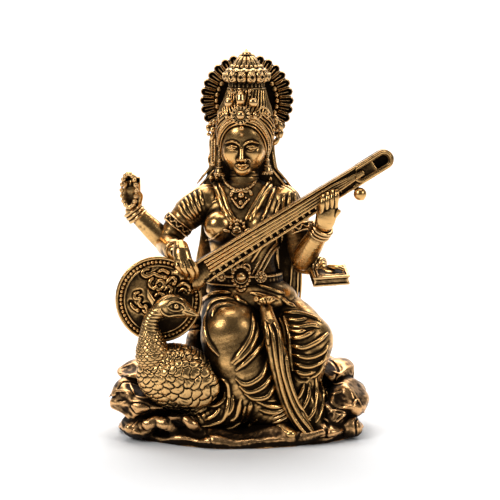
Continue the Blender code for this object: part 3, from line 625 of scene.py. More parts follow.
def antique_brass(name, gold, patina_and_shade, bare, roughness, seed):
    """Brass that is bare where the relief stands out and keeps a dark patina where it lies low;
    ambient occlusion also paints shade in the same dark colour where nearby surfaces crowd close.

    bare moves the border between them: more of it leaves more metal showing.
    """
    material = bpy.data.materials.new(name)
    material.use_nodes = True
    tree = material.node_tree
    nodes, links = tree.nodes, tree.links
    shader = nodes["Principled BSDF"]

    def node(kind, **settings):
        made = nodes.new(kind)
        for key, value in settings.items():
            setattr(made, key, value)
        return made

    def math_node(operation, a, b=None, c=None, clamp=False):
        made = node("ShaderNodeMath", operation=operation, use_clamp=clamp)
        for socket, value in zip(made.inputs, (a, b, c)):
            if value is None:
                continue
            if isinstance(value, (int, float)):
                socket.default_value = value
            else:
                links.new(value, socket)
        return made.outputs[0]

    place = node("ShaderNodeTexCoord").outputs["Object"]

    def noise(scale, detail=3.0, rough=0.55, shift=0.0):
        mapping = node("ShaderNodeMapping")
        mapping.inputs["Location"].default_value = (seed * 0.013 + shift, shift * 0.7, seed * 0.007)
        links.new(place, mapping.inputs["Vector"])
        made = node("ShaderNodeTexNoise")
        made.inputs["Scale"].default_value = scale
        made.inputs["Detail"].default_value = detail
        made.inputs["Roughness"].default_value = rough
        links.new(mapping.outputs[0], made.inputs["Vector"])
        return made.outputs["Fac"]

    fine = node("ShaderNodeAttribute", attribute_name="fine").outputs["Fac"]
    broad = node("ShaderNodeAttribute", attribute_name="broad").outputs["Fac"]
    # Painted shade: ambient occlusion within a few millimetres, so spots hemmed in by this or other castings
    # turn to the dark patina colour
    occlusion = node("ShaderNodeAmbientOcclusion", samples=8)
    occlusion.inputs["Distance"].default_value = SHADE_AND_PATINA_REACH
    cloud = noise(CLOUD_SCALE, 4.0)
    grit = noise(GRIT_SCALE, 3.0, 0.7, 0.3)

    height = math_node("MULTIPLY_ADD", fine, FINE_WEIGHT, BARE_LEVEL)
    height = math_node("MULTIPLY_ADD", broad, BROAD_WEIGHT, height)
    # Openness lifts the metal out of the patina; crowded spots stay dark, partly patina and partly painted
    # shade
    height = math_node("MULTIPLY_ADD", occlusion.outputs["AO"], SHADE_AND_PATINA_WEIGHT, height)
    height = math_node("MULTIPLY_ADD", math_node("SUBTRACT", cloud, 0.5), CLOUD_WEIGHT, height)
    height = math_node("MULTIPLY_ADD", math_node("SUBTRACT", grit, 0.5), GRIT_WEIGHT, height)
    height = math_node("ADD", height, bare)
    mask = node("ShaderNodeMapRange", interpolation_type="SMOOTHSTEP")
    mask.inputs["From Min"].default_value = 0.05
    mask.inputs["From Max"].default_value = 0.75
    links.new(height, mask.inputs["Value"])
    # The mask: 1 where the metal is bare, 0 where patina and painted shade darken it
    bare_vs_patina_and_shade = mask.outputs["Result"]

    # The ramp runs from the patina colour, which is also the painted shade, to bare gold
    ramp = node("ShaderNodeValToRGB")
    ramp.color_ramp.interpolation = "EASE"
    stops = ramp.color_ramp.elements
    stops[0].position, stops[0].color = 0.0, (*patina_and_shade, 1)
    stops[1].position, stops[1].color = 1.0, (*gold, 1)
    for position, share in ((0.3, 0.09), (0.65, 0.42)):
        stop = stops.new(position)
        stop.color = (*[p * (1 - share) + g * share for p, g in zip(patina_and_shade, gold)], 1)
    links.new(bare_vs_patina_and_shade, ramp.inputs["Fac"])
    tint = node("ShaderNodeMix", data_type="RGBA", blend_type="MULTIPLY")
    rosy = math_node("MULTIPLY", noise(180.0, 2.0, 0.5, 0.9), 0.55)
    links.new(rosy, tint.inputs["Factor"])
    links.new(ramp.outputs["Color"], tint.inputs["A"])
    tint.inputs["B"].default_value = (*ROSY_TINT, 1)
    links.new(tint.outputs["Result"], shader.inputs["Base Color"])

    shader.inputs["Metallic"].default_value = 1.0
    gloss = math_node("MULTIPLY_ADD", bare_vs_patina_and_shade, roughness - PATINA_ROUGHNESS, PATINA_ROUGHNESS)
    gloss = math_node("MULTIPLY_ADD", math_node("SUBTRACT", cloud, 0.5), 0.25, gloss)
    links.new(gloss, shader.inputs["Roughness"])

    bump = node("ShaderNodeBump")
    bump.inputs["Strength"].default_value = 0.35
    bump.inputs["Distance"].default_value = PIT_DEPTH
    pits = math_node("MULTIPLY_ADD", grit, 0.6, math_node("MULTIPLY", noise(900.0, 2.0, 0.5, 1.7), 0.8))
    links.new(pits, bump.inputs["Height"])
    links.new(bump.outputs["Normal"], shader.inputs["Normal"])
    return material


# ---- feathers ----


def feathers(along_axis, around, size, height):
    """Overlapping feathers, their free round ends turned towards the growing first coordinate."""
    pitch, reach = 0.62 * size, 0.68 * size
    lift = np.zeros(len(along_axis), REAL)
    free = np.ones(len(along_axis), bool)
    first = np.floor((along_axis - reach) / pitch)
    for k in range(0, 4):
        row = first + k
        shift = 0.5 * (row % 2)
        middle = (np.floor(around / size - shift) + 0.5 + shift) * size
        ahead = along_axis - row * pitch
        spread = around - middle
        out = np.hypot(ahead, spread * 1.1) / reach
        covers = free & (out < 1.0)
        barbs = 0.08 * np.cos(np.arctan2(spread, ahead + reach) * 18) * out
        rise = (1 - out**5) * (0.75 + 0.25 * ahead / reach) + barbs
        lift = np.where(covers, rise, lift)
        free &= ~covers
    return height * lift


BIRD_NAPE = at(-20.2, 22.6, -11.0)


def plumage(P, size, height, spread):
    """Feathers that radiate from the nape over the body."""
    q = P - vec(BIRD_NAPE)
    out = np.sqrt(q[:, 0] ** 2 + q[:, 2] ** 2 + 0.6 * q[:, 1] ** 2)
    around = np.arctan2(q[:, 0], -q[:, 2]) * spread
    out = out + 0.3 * np.sin(around * 0.9) + 0.22 * waves(P, 3.6, 41)
    return feathers(out, around + 0.22 * waves(P, 3.1, 42), size, height)


# ---- places, studs and lines on a surface ----


def spot(field, place, out=0.0):
    """The point of a surface seen at (u, v), brought forward by out."""
    point = lay(field, [place])[0]
    return point + VIEW_BACK * out


def spots(field, drawn, out=0.0):
    return [point + VIEW_BACK * out for point in lay(field, drawn)]


def studs(P, d, rows, blend=0.08):
    """Adds rounded studs, each (centre, half sizes, lean in degrees in the front view)."""
    for centre, half, lean in rows:
        near = np.flatnonzero((np.abs(P - vec(centre)) < max(half) + 0.3).all(1))
        if len(near):
            d[near] = join(d[near], ball(P[near], centre, half, turn(0, lean, 0)), blend)
    return d


def drawn_line(field, drawn, radius, out=0.0, taper=0.5, steps=5):
    """A stroke laid on a surface and brought forward by out."""
    return stroke(field, drawn, radius, -out, taper, steps)


def drawn_lines(field, rows):
    """Strokes on one surface, each (curve, radius) and what else drawn_line takes."""
    return [drawn_line(field, *row) for row in rows]


def studs_on(field, rows):
    """Studs on one surface, each (place, out, half sizes, lean)."""
    return [(spot(field, place, out), half, lean) for place, out, half, lean in rows]


def clipped(base, d, reach=0.9):
    """Keeps what was added to base only where it lies near the base's own surface."""
    return np.where(base < reach, d, base)


# ---- base forms, shared by castings that lie on one another ----

HEAD_AXES = turn(6, 0, -6)


def head_base(P):
    q = local(P, HEAD, HEAD_AXES)
    skull = ball(q, (0, 0.4, 1.2), (4.75, 4.9, 5.0))
    jaw = ball(q, (0, -0.9, -2.0), (4.3, 3.75, 4.25))
    d = join(skull, jaw, 1.4)
    d = join(d, ball(q, (0, -3.3, -5.1), (1.4, 1.1, 0.95)), 0.9)
    neck = chain(P, [(-1.4, 2.9, 55.0), (-1.3, 2.8, 49.6)], [2.7, 3.2])
    return join(d, neck, 0.6)


def trunk_form(P):
    body = loft(
        P,
        [
            (-1.2, 1.6, 28.0, 8.2, 5.2),
            (-1.5, 1.0, 32.0, 6.9, 4.6),
            (-1.6, 0.8, 35.0, 6.4, 4.2),
            (-1.5, 0.8, 39.0, 7.1, 4.7),
            (-1.2, 1.0, 43.0, 8.1, 5.0),
            (-1.0, 1.8, 46.6, 8.8, 4.3),
            (-1.2, 2.3, 49.2, 6.6, 3.4),
            (-1.3, 2.7, 51.2, 3.4, 2.8),
        ],
    )
    for x in (-6.4, 1.9):
        body = join(body, ball(P, (x, -2.7, 42.4), (3.1, 3.0, 3.1)), 0.9)
    return body


def right_leg_form(P):
    thigh = ball(P, (-4.0, -3.2, 23.6), (6.1, 9.4, 5.6), turn(10, 0, 3))
    points = [
        (-4.1, -8.0, 20.8), (-2.9, -8.6, 16.6), (-0.8, -9.2, 11.8), (2.2, -10.0, 7.6), (6.0, -10.8, 4.7)
    ]
    shin = limb(P, points, [6.0, 6.2, 5.8, 4.4, 2.4], flat=0.85, across=(0, 1, 0))
    return join(thigh, shin, 1.5)


def left_leg_form(P):
    thigh = limb(P, [(4.2, 1.8, 24.6), (8.2, -1.8, 22.4), (11.4, -5.2, 19.6)], [5.2, 5.2, 5.0])
    shin = limb(P, [(11.3, -5.6, 19.2), (10.4, -6.0, 14.2), (8.8, -6.6, 9.0)], [5.1, 4.6, 4.2])
    return join(thigh, shin, 1.2)


def lap_form(P):
    return join(
        ball(P, (0.2, -0.6, 27.6), (9.2, 6.4, 4.0)), ball(P, (-0.6, 2.6, 24.0), (10.2, 6.6, 4.6)), 1.5
    )


def left_drape_form(P):
    return loft(
        P,
        [
            (10.6, -8.4, 2.0, 5.6, 4.4),
            (10.4, -7.8, 6.0, 4.9, 4.3),
            (9.8, -6.6, 10.0, 4.4, 4.2),
            (9.6, -6.0, 14.0, 3.6, 3.6),
        ],
    )


def hem_form(P):
    return limb(
        P, [(-1.6, -9.2, 9.4), (-5.0, -11.6, 6.2), (-9.6, -12.2, 4.4)], [3.4, 3.0, 1.8], 0.7, (0, 1, 0.3)
    )


def skirt_form(P):
    """All the draped cloth below the waist, for laying folds across its castings."""
    both = join(right_leg_form(P), left_leg_form(P), 0.8)
    both = join(both, lap_form(P), 1.2)
    both = join(both, left_drape_form(P), 1.0)
    return join(both, hem_form(P), 0.8)


def shawl_form(P):
    """The veil behind the head and the cloth that falls from it over the shoulders and down the back."""
    cape = loft(
        P,
        [
            (-1.4, 6.0, 21.0, 10.6, 3.4),
            (-0.9, 5.6, 28.0, 11.0, 3.6),
            (-0.7, 5.4, 34.0, 10.8, 3.2),
            (-0.2, 5.6, 41.0, 10.2, 2.8),
            (-0.8, 5.6, 46.5, 9.6, 3.0),
            (-1.2, 5.8, 49.6, 8.6, 2.6),
            (-1.4, 6.0, 52.6, 7.3, 2.2),
            (-1.7, 6.2, 55.6, 6.6, 2.0),
            (-1.9, 6.4, 59.0, 6.5, 1.8),
            (-1.7, 6.6, 62.0, 5.6, 1.4),
        ],
    )
    return cape


def bird_body_form(P):
    body = ball(P, BIRD_BODY, (8.2, 5.0, 6.5), turn(0, 14, 0))
    tail = limb(
        P, [(-13.0, -10.4, 8.6), (-10.4, -11.2, 6.8), (-7.6, -11.8, 5.6)], [2.4, 1.9, 1.0], 0.6, (0, 1, 0)
    )
    return join(body, tail, 0.8)


def bird_neck_form(P):
    places = [(-20.0, 18.1), (-20.4, 20.8), (-20.6, 23.6), (-20.0, 25.7), (-18.1, 27.4)]
    points = [at(*place, -11.0) for place in places]
    return limb(P, points, [3.3, 2.3, 1.75, 1.5, 1.55])


def lute_axes():
    """Columns: across the neck (to the viewer's lower right), out of its face, and up along it."""
    along_neck = unit(np.subtract(LUTE_TOP, LUTE_TAIL))
    face = unit(np.array([0, -1, 0]) - along_neck * -along_neck[1])
    return np.stack([np.cross(face, along_neck), face, along_neck], axis=1)


# ---- head, hair and crown ----


def head_field(P):
    q = local(P, HEAD, HEAD_AXES)
    d = head_base(P)
    for side in (-1, 1):
        d = join(d, ball(q, (side * 2.25, -2.8, -1.7), (1.6, 1.35, 1.7)), 0.8)
        d = carve(d, ball(q, (side * 1.88, -4.85, -0.2), (1.4, 0.85, 0.72)), 0.5)
        brow = [(side * 0.5, -4.45, 0.5), (side * 1.8, -4.55, 1.15), (side * 3.4, -3.45, 0.55)]
        d = join(d, limb(q, brow, [0.15, 0.24, 0.1]), 0.25)
        d = join(d, ball(q, (side * 1.82, -3.6, -0.25), (1.15, 0.9, 0.62)), 0.12)
        upper = [(0.65, -4.15, -0.4), (1.25, -4.5, 0.08), (2.1, -4.42, 0.2), (3.15, -3.6, -0.25)]
        crease = [(0.75, -4.45, 0.2), (1.4, -4.8, 0.55), (2.2, -4.6, 0.62), (3.1, -3.75, 0.2)]
        lower = [(0.65, -4.15, -0.4), (1.4, -4.4, -0.8), (2.3, -4.2, -0.76), (3.15, -3.6, -0.25)]
        for line, radii, blend in (
            (upper, [0.08, 0.17, 0.17, 0.09], 0.06),
            (lower, [0.08, 0.12, 0.12, 0.08], 0.08),
        ):
            d = join(d, limb(q, [(side * x, y, z) for x, y, z in line], radii), blend)
        d = carve(d, limb(q, [(side * x, y, z) for x, y, z in crease], [0.05, 0.09, 0.09, 0.05]), 0.1)
        d = join(d, ball(q, (side * 1.85, -4.42, -0.32), (0.3, 0.14, 0.3)), 0.04)
        d = join(d, ball(q, (side * 0.64, -4.8, -2.6), (0.45, 0.52, 0.4)), 0.2)
    d = join(d, limb(q, [(0, -4.25, 0.6), (0, -4.85, -1.0), (0, -5.4, -2.35)], [0.34, 0.42, 0.55]), 0.35)
    for side in (-1, 1):
        d = carve(d, ball(q, (side * 0.36, -5.15, -3.0), (0.17, 0.22, 0.18)), 0.08)
        lips = [(side * 1.42, -4.2, -3.82), (side * 0.6, -4.72, -3.6), (0, -4.75, -3.72)]
        d = join(d, limb(q, lips, [0.08, 0.26, 0.23]), 0.12)
    d = join(d, limb(q, [(-1.2, -4.2, -4.0), (0, -4.68, -4.42), (1.2, -4.2, -4.0)], [0.1, 0.36, 0.1]), 0.14)
    d = carve(
        d, limb(q, [(-1.5, -4.25, -3.82), (0, -5.1, -4.02), (1.5, -4.25, -3.82)], [0.07, 0.1, 0.07]), 0.08
    )
    for level in (53.0, 51.8):
        d = carve(d, ring(P, (-1.35, 2.7, level), turn(-8, 0, 0), 2.95, 0.12), 0.15)
    return d


def hair_base(P):
    """The mound of hair from the nape to the crown, open at the face."""
    mound = loft(
        P,
        [
            (-1.2, 4.6, 54.5, 4.3, 3.2),
            (-1.2, 3.6, 57.5, 5.3, 4.6),
            (-1.2, 3.0, 60.5, 5.75, 5.0),
            (-1.2, 3.0, 63.2, 5.75, 5.1),
            (-1.1, 3.1, 66.0, 5.15, 4.9),
            (-1.0, 3.1, 67.8, 4.4, 4.3),
            (-0.9, 3.0, 70.0, 3.75, 3.75),
        ],
    )
    return carve(mound, face_opening(P), 0.35)


def face_opening(P):
    q = local(P, HEAD, HEAD_AXES)
    return ball(q, (0, -6.2, -1.7), (5.25, 9.0, 6.3))


def hair_field(P):
    d = hair_base(P)
    near = np.flatnonzero(np.abs(d) < 1.5)
    N = P[near]
    angle = np.abs(np.arctan2(N[:, 0] + 1.8, 3.0 - N[:, 1]))
    hairline = np.sin(face_opening(N) * 10.0 + 0.5 * np.sin(angle * 9))
    swept = np.sin(angle * 40 - (N[:, 2] - 63) * 3.2 + 0.9 * np.sin(N[:, 2] * 1.1))
    high = smooth_step(64.4, 65.6, N[:, 2] + 0.2 * np.abs(N[:, 0] + 1.4))
    d[near] -= 0.13 * hairline * (1 - high) + 0.1 * swept * high
    return d


def crown_field(P):
    """The stacked crown: ribbed neck, tier of petals, brim, beaded band, fluted dome and finial."""
    q = P - vec((*CROWN_AXIS, 0))
    angle = np.arctan2(q[:, 0], -q[:, 1])
    r = np.hypot(q[:, 0], q[:, 1])
    z = q[:, 2]
    neck = outline_distance(r, z, [(0, 69.2), (3.85, 69.2), (3.9, 69.9), (3.6, 70.1), (3.5, 71.2), (0, 71.2)])
    d = neck - 0.13 * np.sin(angle * 26) * smooth_step(70.0, 70.3, z)
    share = np.abs(np.sin(angle * 6.5))
    petal = outline_distance(
        r, z, [(0, 70.8), (3.7, 70.8), (4.5, 71.3), (4.8, 72.0), (4.55, 72.9), (4.2, 73.3), (0, 73.3)]
    )
    d = join(d, petal + 0.6 * (1 - share) ** 2.2, 0.1)
    brim = outline_distance(
        r, z, [(0, 73.1), (3.9, 73.1), (4.15, 73.35), (4.0, 73.65), (3.2, 74.0), (0, 74.0)]
    )
    d = join(d, brim + 0.08 * np.sin(angle * 13), 0.08)
    outline = [
        (0, 74.0), (2.75, 74.0), (2.85, 74.5), (2.55, 75.0), (2.1, 75.6), (1.6, 76.1), (0.8, 76.4), (0, 76.5)
    ]
    flute = (1 - np.abs(np.sin(angle * 7))) ** 1.5
    dome = outline_distance(r, z, outline) + 0.3 * flute * smooth_step(0.4, 1.4, r)
    d = join(d, dome, 0.06)
    finial = [(0, 76.0), (0.75, 76.2), (1.0, 76.65), (0.85, 77.0), (0.42, 77.35), (0.12, 77.7), (0, 77.7)]
    d = join(d, outline_distance(r, z, finial), 0.06)
    for count, radius, level, size in (
        (20, 3.05, 74.15, 0.36),
        (28, 4.05, 73.4, 0.2),
        (26, 3.85, 69.6, 0.22),
    ):
        d = beads(P, d, circle_of(CROWN_AXIS, radius, level, count), size)
    for i in range(13):
        a = math.pi * (2 * i + 1) / 13
        out = np.array([math.sin(a), -math.cos(a), 0.0])
        centre = np.array([*CROWN_AXIS, 72.2]) + out * 4.7
        near = np.flatnonzero((np.abs(P - vec(centre)) < 1.6).all(1))
        if len(near):
            eye = ring(P[near], centre, axes_towards(out), 0.5, 0.2)
            d[near] = join(d[near], eye, 0.05)
            d[near] = carve(d[near], ball(P[near], centre + out * 0.2, (0.26, 0.26, 0.26)), 0.05)
    return d


def circle_of(axis, radius, level, count):
    """Points round a level circle."""
    turns = [2 * math.pi * i / count for i in range(count)]
    return [(axis[0] + radius * math.sin(a), axis[1] - radius * math.cos(a), level) for a in turns]


def halo_field(P):
    """A dished disc with a rim of hollowed petals, each with a thin rib, and a ring of beads."""
    q = P - vec(HALO)
    r = np.hypot(q[:, 0], q[:, 2])
    angle = np.arctan2(q[:, 0], q[:, 2])
    share = (angle * HALO_SCALLOPS / (2 * math.pi)) % 1.0 - 0.5
    across = share * (2 * math.pi / HALO_SCALLOPS) * r
    tip_centre = HALO_RADIUS - 0.93
    tip = np.hypot(across, np.maximum(r - tip_centre, 0))
    width = math.pi / HALO_SCALLOPS * np.minimum(r, tip_centre)
    rim = np.abs(tip - (width - 0.17)) - 0.13
    rib = np.abs(across) - 0.1
    relief = 0.3 + 0.36 * smooth_step(HALO_RADIUS - 3.0, HALO_RADIUS - 1.2, r)
    relief = relief * smooth_step(0.12, -0.1, rim)
    ribbed = 0.34 * smooth_step(0.1, -0.06, rib) * smooth_step(HALO_RADIUS - 0.7, HALO_RADIUS - 1.0, r)
    relief = np.maximum(relief, ribbed)
    relief = relief * smooth_step(6.5, 6.9, r)
    front = -q[:, 1] - (0.1 + 0.3 * smooth_step(3, 9, r) + relief)
    back = q[:, 1] - 0.6 - 0.12 * np.cos(share * 2 * math.pi) * smooth_step(2.0, 6.0, r)
    disc = np.maximum(np.maximum(r - HALO_RADIUS - 0.05, front * 0.7), back)
    d = np.maximum(disc, np.where(r > tip_centre, tip - width * 1.02, -1.0))
    for radius, size, count in ((6.2, 0.5, 32), (1.5, 0.4, 12)):
        side = 1 if radius < 2 else -1
        rows = []
        for i in range(count):
            a = 2 * math.pi * i / count
            rows.append(
                (HALO[0] + radius * math.sin(a), HALO[1] + side * 0.7, HALO[2] + radius * math.cos(a))
            )
        d = beads(P, d, rows, size)
    return join(d, ring(P, (HALO[0], HALO[1] + 0.6, HALO[2]), turn(90, 0, 0), HALO_RADIUS - 2.4, 0.2), 0.1)


def flower(P, d, centre, axes, petals, reach, petal, heart):
    """A round medallion: a ring of petals about a ball, on a thin disc."""
    near = np.flatnonzero((np.abs(P - vec(centre)) < reach + 1.0).all(1))
    if len(near) == 0:
        return d
    N = P[near]
    e = join(
        d[near], lathe(N, [(reach * 0.9, -0.5), (reach * 0.95, 0.05), (heart, 0.12)], centre, axes), 0.08
    )
    for i in range(petals):
        a = 2 * math.pi * (i + 0.5) / petals
        out = axes @ np.array([math.cos(a), math.sin(a), 0.0])
        leaf = chain(
            N,
            [np.array(centre) + out * (reach - 2.2 * petal), np.array(centre) + out * (reach - petal)],
            [petal * 0.7, petal],
        )
        e = join(e, leaf, 0.04)
    e = join(e, ring(N, np.array(centre) + axes[:, 2] * 0.15, axes, heart + 0.18, 0.1), 0.04)
    d[near] = join(e, ball(N, np.array(centre) + axes[:, 2] * 0.2, (heart, heart, heart * 0.85), axes), 0.04)
    return d


def diadem_field():
    """What is fixed to the front of the hair: flower, drop, domes, curls and the beaded hairline."""
    front = axes_towards((-0.1, -1, 0.15))
    middle = spot(hair_base, (-2.1, 66.7), 0.5)
    drop = spots(hair_base, [(-2.1, 69.7), (-2.1, 70.5), (-2.1, 71.4), (-2.0, 72.0)], 0.75)
    curls = drawn_lines(
        hair_base,
        [
            (
                [(-2.9, 72.6), (-3.6, 72.8), (-4.0, 72.3), (-3.8, 71.5), (-3.2, 71.4), (-3.1, 72.0)],
                0.24,
                0.45,
            ),
            ([(-1.4, 72.6), (-0.7, 72.8), (-0.2, 72.2), (-0.4, 71.5)], 0.36, 0.45, 0.7),
            ([(1.3, 67.6), (2.1, 68.3), (3.2, 68.1), (3.8, 67.4)], 0.2, 0.15),
            ([(1.4, 66.0), (2.0, 66.8), (1.8, 67.4)], 0.22, 0.15),
            ([(-5.5, 67.6), (-6.4, 67.2), (-6.6, 66.2), (-6.4, 65.4)], 0.22, 0.15),
            ([(-3.5, 68.8), (-3.1, 68.1), (-2.1, 67.9), (-1.2, 68.1), (-0.8, 68.8)], 0.18, 0.15),
        ],
    )
    round_studs = studs_on(
        hair_base,
        [
            ((-1.9, 73.2), 0.7, (0.58, 0.5, 0.58), 0),
            ((-4.4, 69.3), 0.55, (0.98, 0.8, 0.95), 0),
            ((0.4, 69.3), 0.55, (0.98, 0.8, 0.95), 0),
            ((-4.9, 66.7), 0.1, (0.4, 0.45, 0.78), 8),
            ((0.8, 66.6), 0.1, (0.48, 0.45, 0.85), -12),
            ((-0.3, 70.9), 0.2, (0.28, 0.3, 0.28), 0),
            ((-3.9, 70.8), 0.2, (0.28, 0.3, 0.28), 0),
            ((3.3, 66.9), 0.1, (0.36, 0.4, 0.36), 0),
            ((-6.6, 66.9), 0.1, (0.3, 0.35, 0.3), 0),
        ],
    )
    round_studs += studs_on(
        head_base, [((-1.9, 64.1), 0.15, (0.52, 0.45, 0.52), 0), ((-1.9, 62.8), 0.2, (0.34, 0.35, 0.34), 0)]
    )
    frame_corners = spots(hair_base, [(3.3, 67.8), (4.1, 66.9), (3.3, 66.0), (2.4, 66.9), (3.3, 67.8)], 0.1)
    hairline = []
    for drawn in (
        [(-4.1, 65.6), (-5.1, 65.0), (-6.0, 63.9), (-6.6, 62.3), (-6.8, 60.5)],
        [(0.0, 65.6), (1.1, 65.3), (2.3, 64.2), (3.2, 62.7), (3.6, 60.7)],
    ):
        curve, _ = spline(drawn, 1.0, 6)
        hairline.append(lay(hair_base, curve))
    ropes = [
        (line + VIEW_BACK * 0.05 + np.array([0, 0, 0.62]), np.full(len(line), 0.17)) for line in hairline
    ]
    knots = [along(line + VIEW_BACK * 0.12, 0.5) for line in hairline]

    def field(P):
        d = nothing(P)
        d = flower(P, d, middle, front, 14, 2.0, 0.32, 0.9)
        d = join(d, chain(P, drop, [0.92, 0.84, 0.45, 0.16]), 0.05)
        d = add(P, d, curls + ropes + [(np.array(frame_corners), np.full(5, 0.16))], 0.05)
        d = studs(P, d, round_studs, 0.05)
        for row in knots:
            d = beads(P, d, row, 0.27)
        return d

    return field


def earring_field(side):
    """A bell pendant under the ear and the leaves and beads fixed before the veil beside the face."""
    if side < 0:
        bell_top = np.array(at(-6.4, 57.4, 1.6))
        leaves = [((-7.9, 62.5), 0.5, 0.95, 10), ((-8.7, 64.1), 0.5, 0.8, -15), ((-7.6, 65.3), 0.4, 0.6, 20)]
        round_ones = [((-7.8, 63.8), 0.62), ((-8.7, 62.9), 0.4), ((-8.3, 65.0), 0.4), ((-7.7, 56.8), 0.5)]
        lines = [
            [(-7.9, 61.8), (-7.9, 60.5), (-8.0, 59.2), (-8.0, 57.3)],
            [(-7.4, 61.8), (-7.4, 60.5), (-7.4, 59.2), (-7.4, 57.3)],
        ]
    else:
        bell_top = np.array(at(3.3, 57.7, 1.6))
        leaves = [
            ((5.1, 66.1), 0.5, 0.85, -30),
            ((6.0, 64.6), 0.55, 1.0, -15),
            ((6.1, 63.0), 0.55, 1.0, 8),
            ((5.2, 61.5), 0.55, 1.0, 30),
            ((4.6, 64.1), 0.42, 0.75, -10),
            ((4.4, 62.6), 0.42, 0.75, 8),
        ]
        round_ones = [((5.2, 65.2), 0.36), ((5.3, 63.7), 0.36), ((5.3, 62.5), 0.32), ((3.5, 59.9), 0.34)]
        lines = [[(3.5, 60.8), (3.5, 59.7), (3.4, 58.2)]]
    depth = 2.2
    studded = [(at(*place, depth), (wide, 0.45, tall), lean) for place, wide, tall, lean in leaves]
    studded += [(at(*place, depth - 0.3), (size, size, size), 0) for place, size in round_ones]
    strings = [np.array([at(*place, depth) for place in drawn]) for drawn in lines]
    backing = [(np.array(line), np.full(len(line), 0.14)) for line in strings]
    profile = [(0.32, 0.2), (0.5, -0.8), (0.85, -1.9), (1.12, -2.6), (1.0, -2.8), (0.3, -2.85)]

    def field(P):
        d = lathe(P, profile, bell_top, np.eye(3))
        for level, reach in ((-0.05, 0.4), (-1.2, 0.68), (-2.45, 1.08)):
            d = join(d, ring(P, bell_top + (0, 0, level), np.eye(3), reach, 0.13), 0.05)
        d = beads(P, d, circle_of(bell_top, 0.95, bell_top[2] - 2.85, 10), 0.2)
        d = join(d, chain(P, [bell_top, bell_top + (0, 0.5, 2.0)], [0.26, 0.3]), 0.05)
        d = studs(P, d, studded, 0.05)
        d = add(P, d, backing, 0.04)
        for line in strings:
            d = beads(P, d, along(line, 0.48), 0.24)
        return d

    return field


def nose_ring_field(P):
    q = local(P, HEAD, HEAD_AXES)
    return ring(q, (1.25, -5.05, -2.95), axes_towards((0.35, -1, 0.1)), 0.55, 0.13)


# ---- trunk and its ornaments ----


def torso_field():
    """Bare skin above the belt, the blouse over the breasts with its trim, and soft folds."""
    ridges = drawn_lines(
        trunk_form,
        [
            ([(-7.0, 49.4), (-8.5, 48.5), (-9.8, 47.0), (-10.5, 45.2), (-10.7, 43.0)], 0.2, 0.0),
            ([(-7.5, 50.1), (-9.0, 49.1), (-10.5, 47.4), (-11.3, 45.4), (-11.4, 43.0)], 0.24, 0.0),
            ([(-6.5, 42.6), (-7.9, 41.6), (-9.6, 41.5), (-11.0, 41.9)], 0.22, 0.0),
            ([(-1.4, 42.8), (0.2, 42.0), (1.8, 42.1), (3.1, 43.0)], 0.22, 0.0),
            ([(2.2, 45.6), (3.2, 44.6), (3.3, 43.2)], 0.2, 0.0),
            ([(4.9, 52.1), (3.9, 49.5), (2.9, 46.8), (2.2, 45.4)], 0.34, 0.0),
            ([(6.7, 51.1), (5.7, 48.9), (5.1, 46.6), (4.9, 44.2)], 0.34, 0.0),
            ([(7.9, 49.5), (6.9, 47.8), (6.3, 45.8)], 0.3, 0.0),
            ([(4.9, 44.2), (5.1, 41.3), (5.3, 38.1), (5.7, 35.6)], 0.36, 0.0),
            ([(6.1, 44.6), (6.4, 41.3), (6.6, 38.1), (6.9, 35.2)], 0.36, 0.0),
            ([(7.3, 45.0), (7.7, 41.3), (7.9, 38.1), (8.1, 34.8)], 0.36, 0.0),
            ([(0.2, 36.9), (1.8, 39.5), (3.5, 41.3)], 0.3, 0.0),
        ],
    )
    rope = spots(trunk_form, [(-7.2, 49.8), (-8.8, 48.7), (-10.1, 47.2), (-10.9, 45.3), (-11.0, 43.0)])
    navel = spot(trunk_form, (-2.1, 36.7), 0.1)

    def field(P):
        d = trunk_form(P)
        e = add(P, d.copy(), ridges, 0.14)
        d = clipped(d, e)
        d = beads(P, d, along(rope, 0.62), 0.24)
        return carve(d, ball(P, navel, (0.4, 0.6, 0.45)), 0.3)

    return field


def shawl_field():
    """Folds run down the back; the veil's edge is a double roll over the shoulders."""
    edges = drawn_lines(
        shawl_form,
        [
            ([(-8.3, 59.2), (-8.6, 57.6), (-8.3, 56.2), (-9.8, 54.3), (-11.0, 52.8)], 0.26, 0.1),
            ([(-7.5, 55.6), (-8.8, 54.1), (-10.6, 52.2)], 0.22, 0.1),
            ([(4.4, 59.2), (4.6, 57.2), (5.2, 55.8), (6.9, 53.8), (8.5, 51.8)], 0.26, 0.1),
            ([(4.0, 56.0), (5.3, 54.4), (7.7, 51.4)], 0.22, 0.1),
            ([(9.7, 36.9), (9.5, 34.2), (9.4, 31.2), (9.1, 28.1)], 0.22, 0.1),
            ([(10.3, 37.7), (10.2, 34.2), (10.1, 31.2), (9.8, 27.9)], 0.26, 0.1),
            ([(8.3, 36.9), (8.1, 33.6), (7.7, 30.7)], 0.22, 0.1),
        ],
    )

    def field(P):
        d = shawl_form(P)
        behind = smooth_step(4.6, 6.6, P[:, 1])
        swing = 0.5 * np.sin(P[:, 2] * 0.2)
        d -= 0.32 * np.sin(P[:, 0] * 1.9 + swing + 0.35 * np.sin(P[:, 2] * 0.45)) * behind
        d -= 0.1 * np.sin(P[:, 0] * 4.3 + swing * 2) * behind
        return add(P, d, edges, 0.12)

    return field


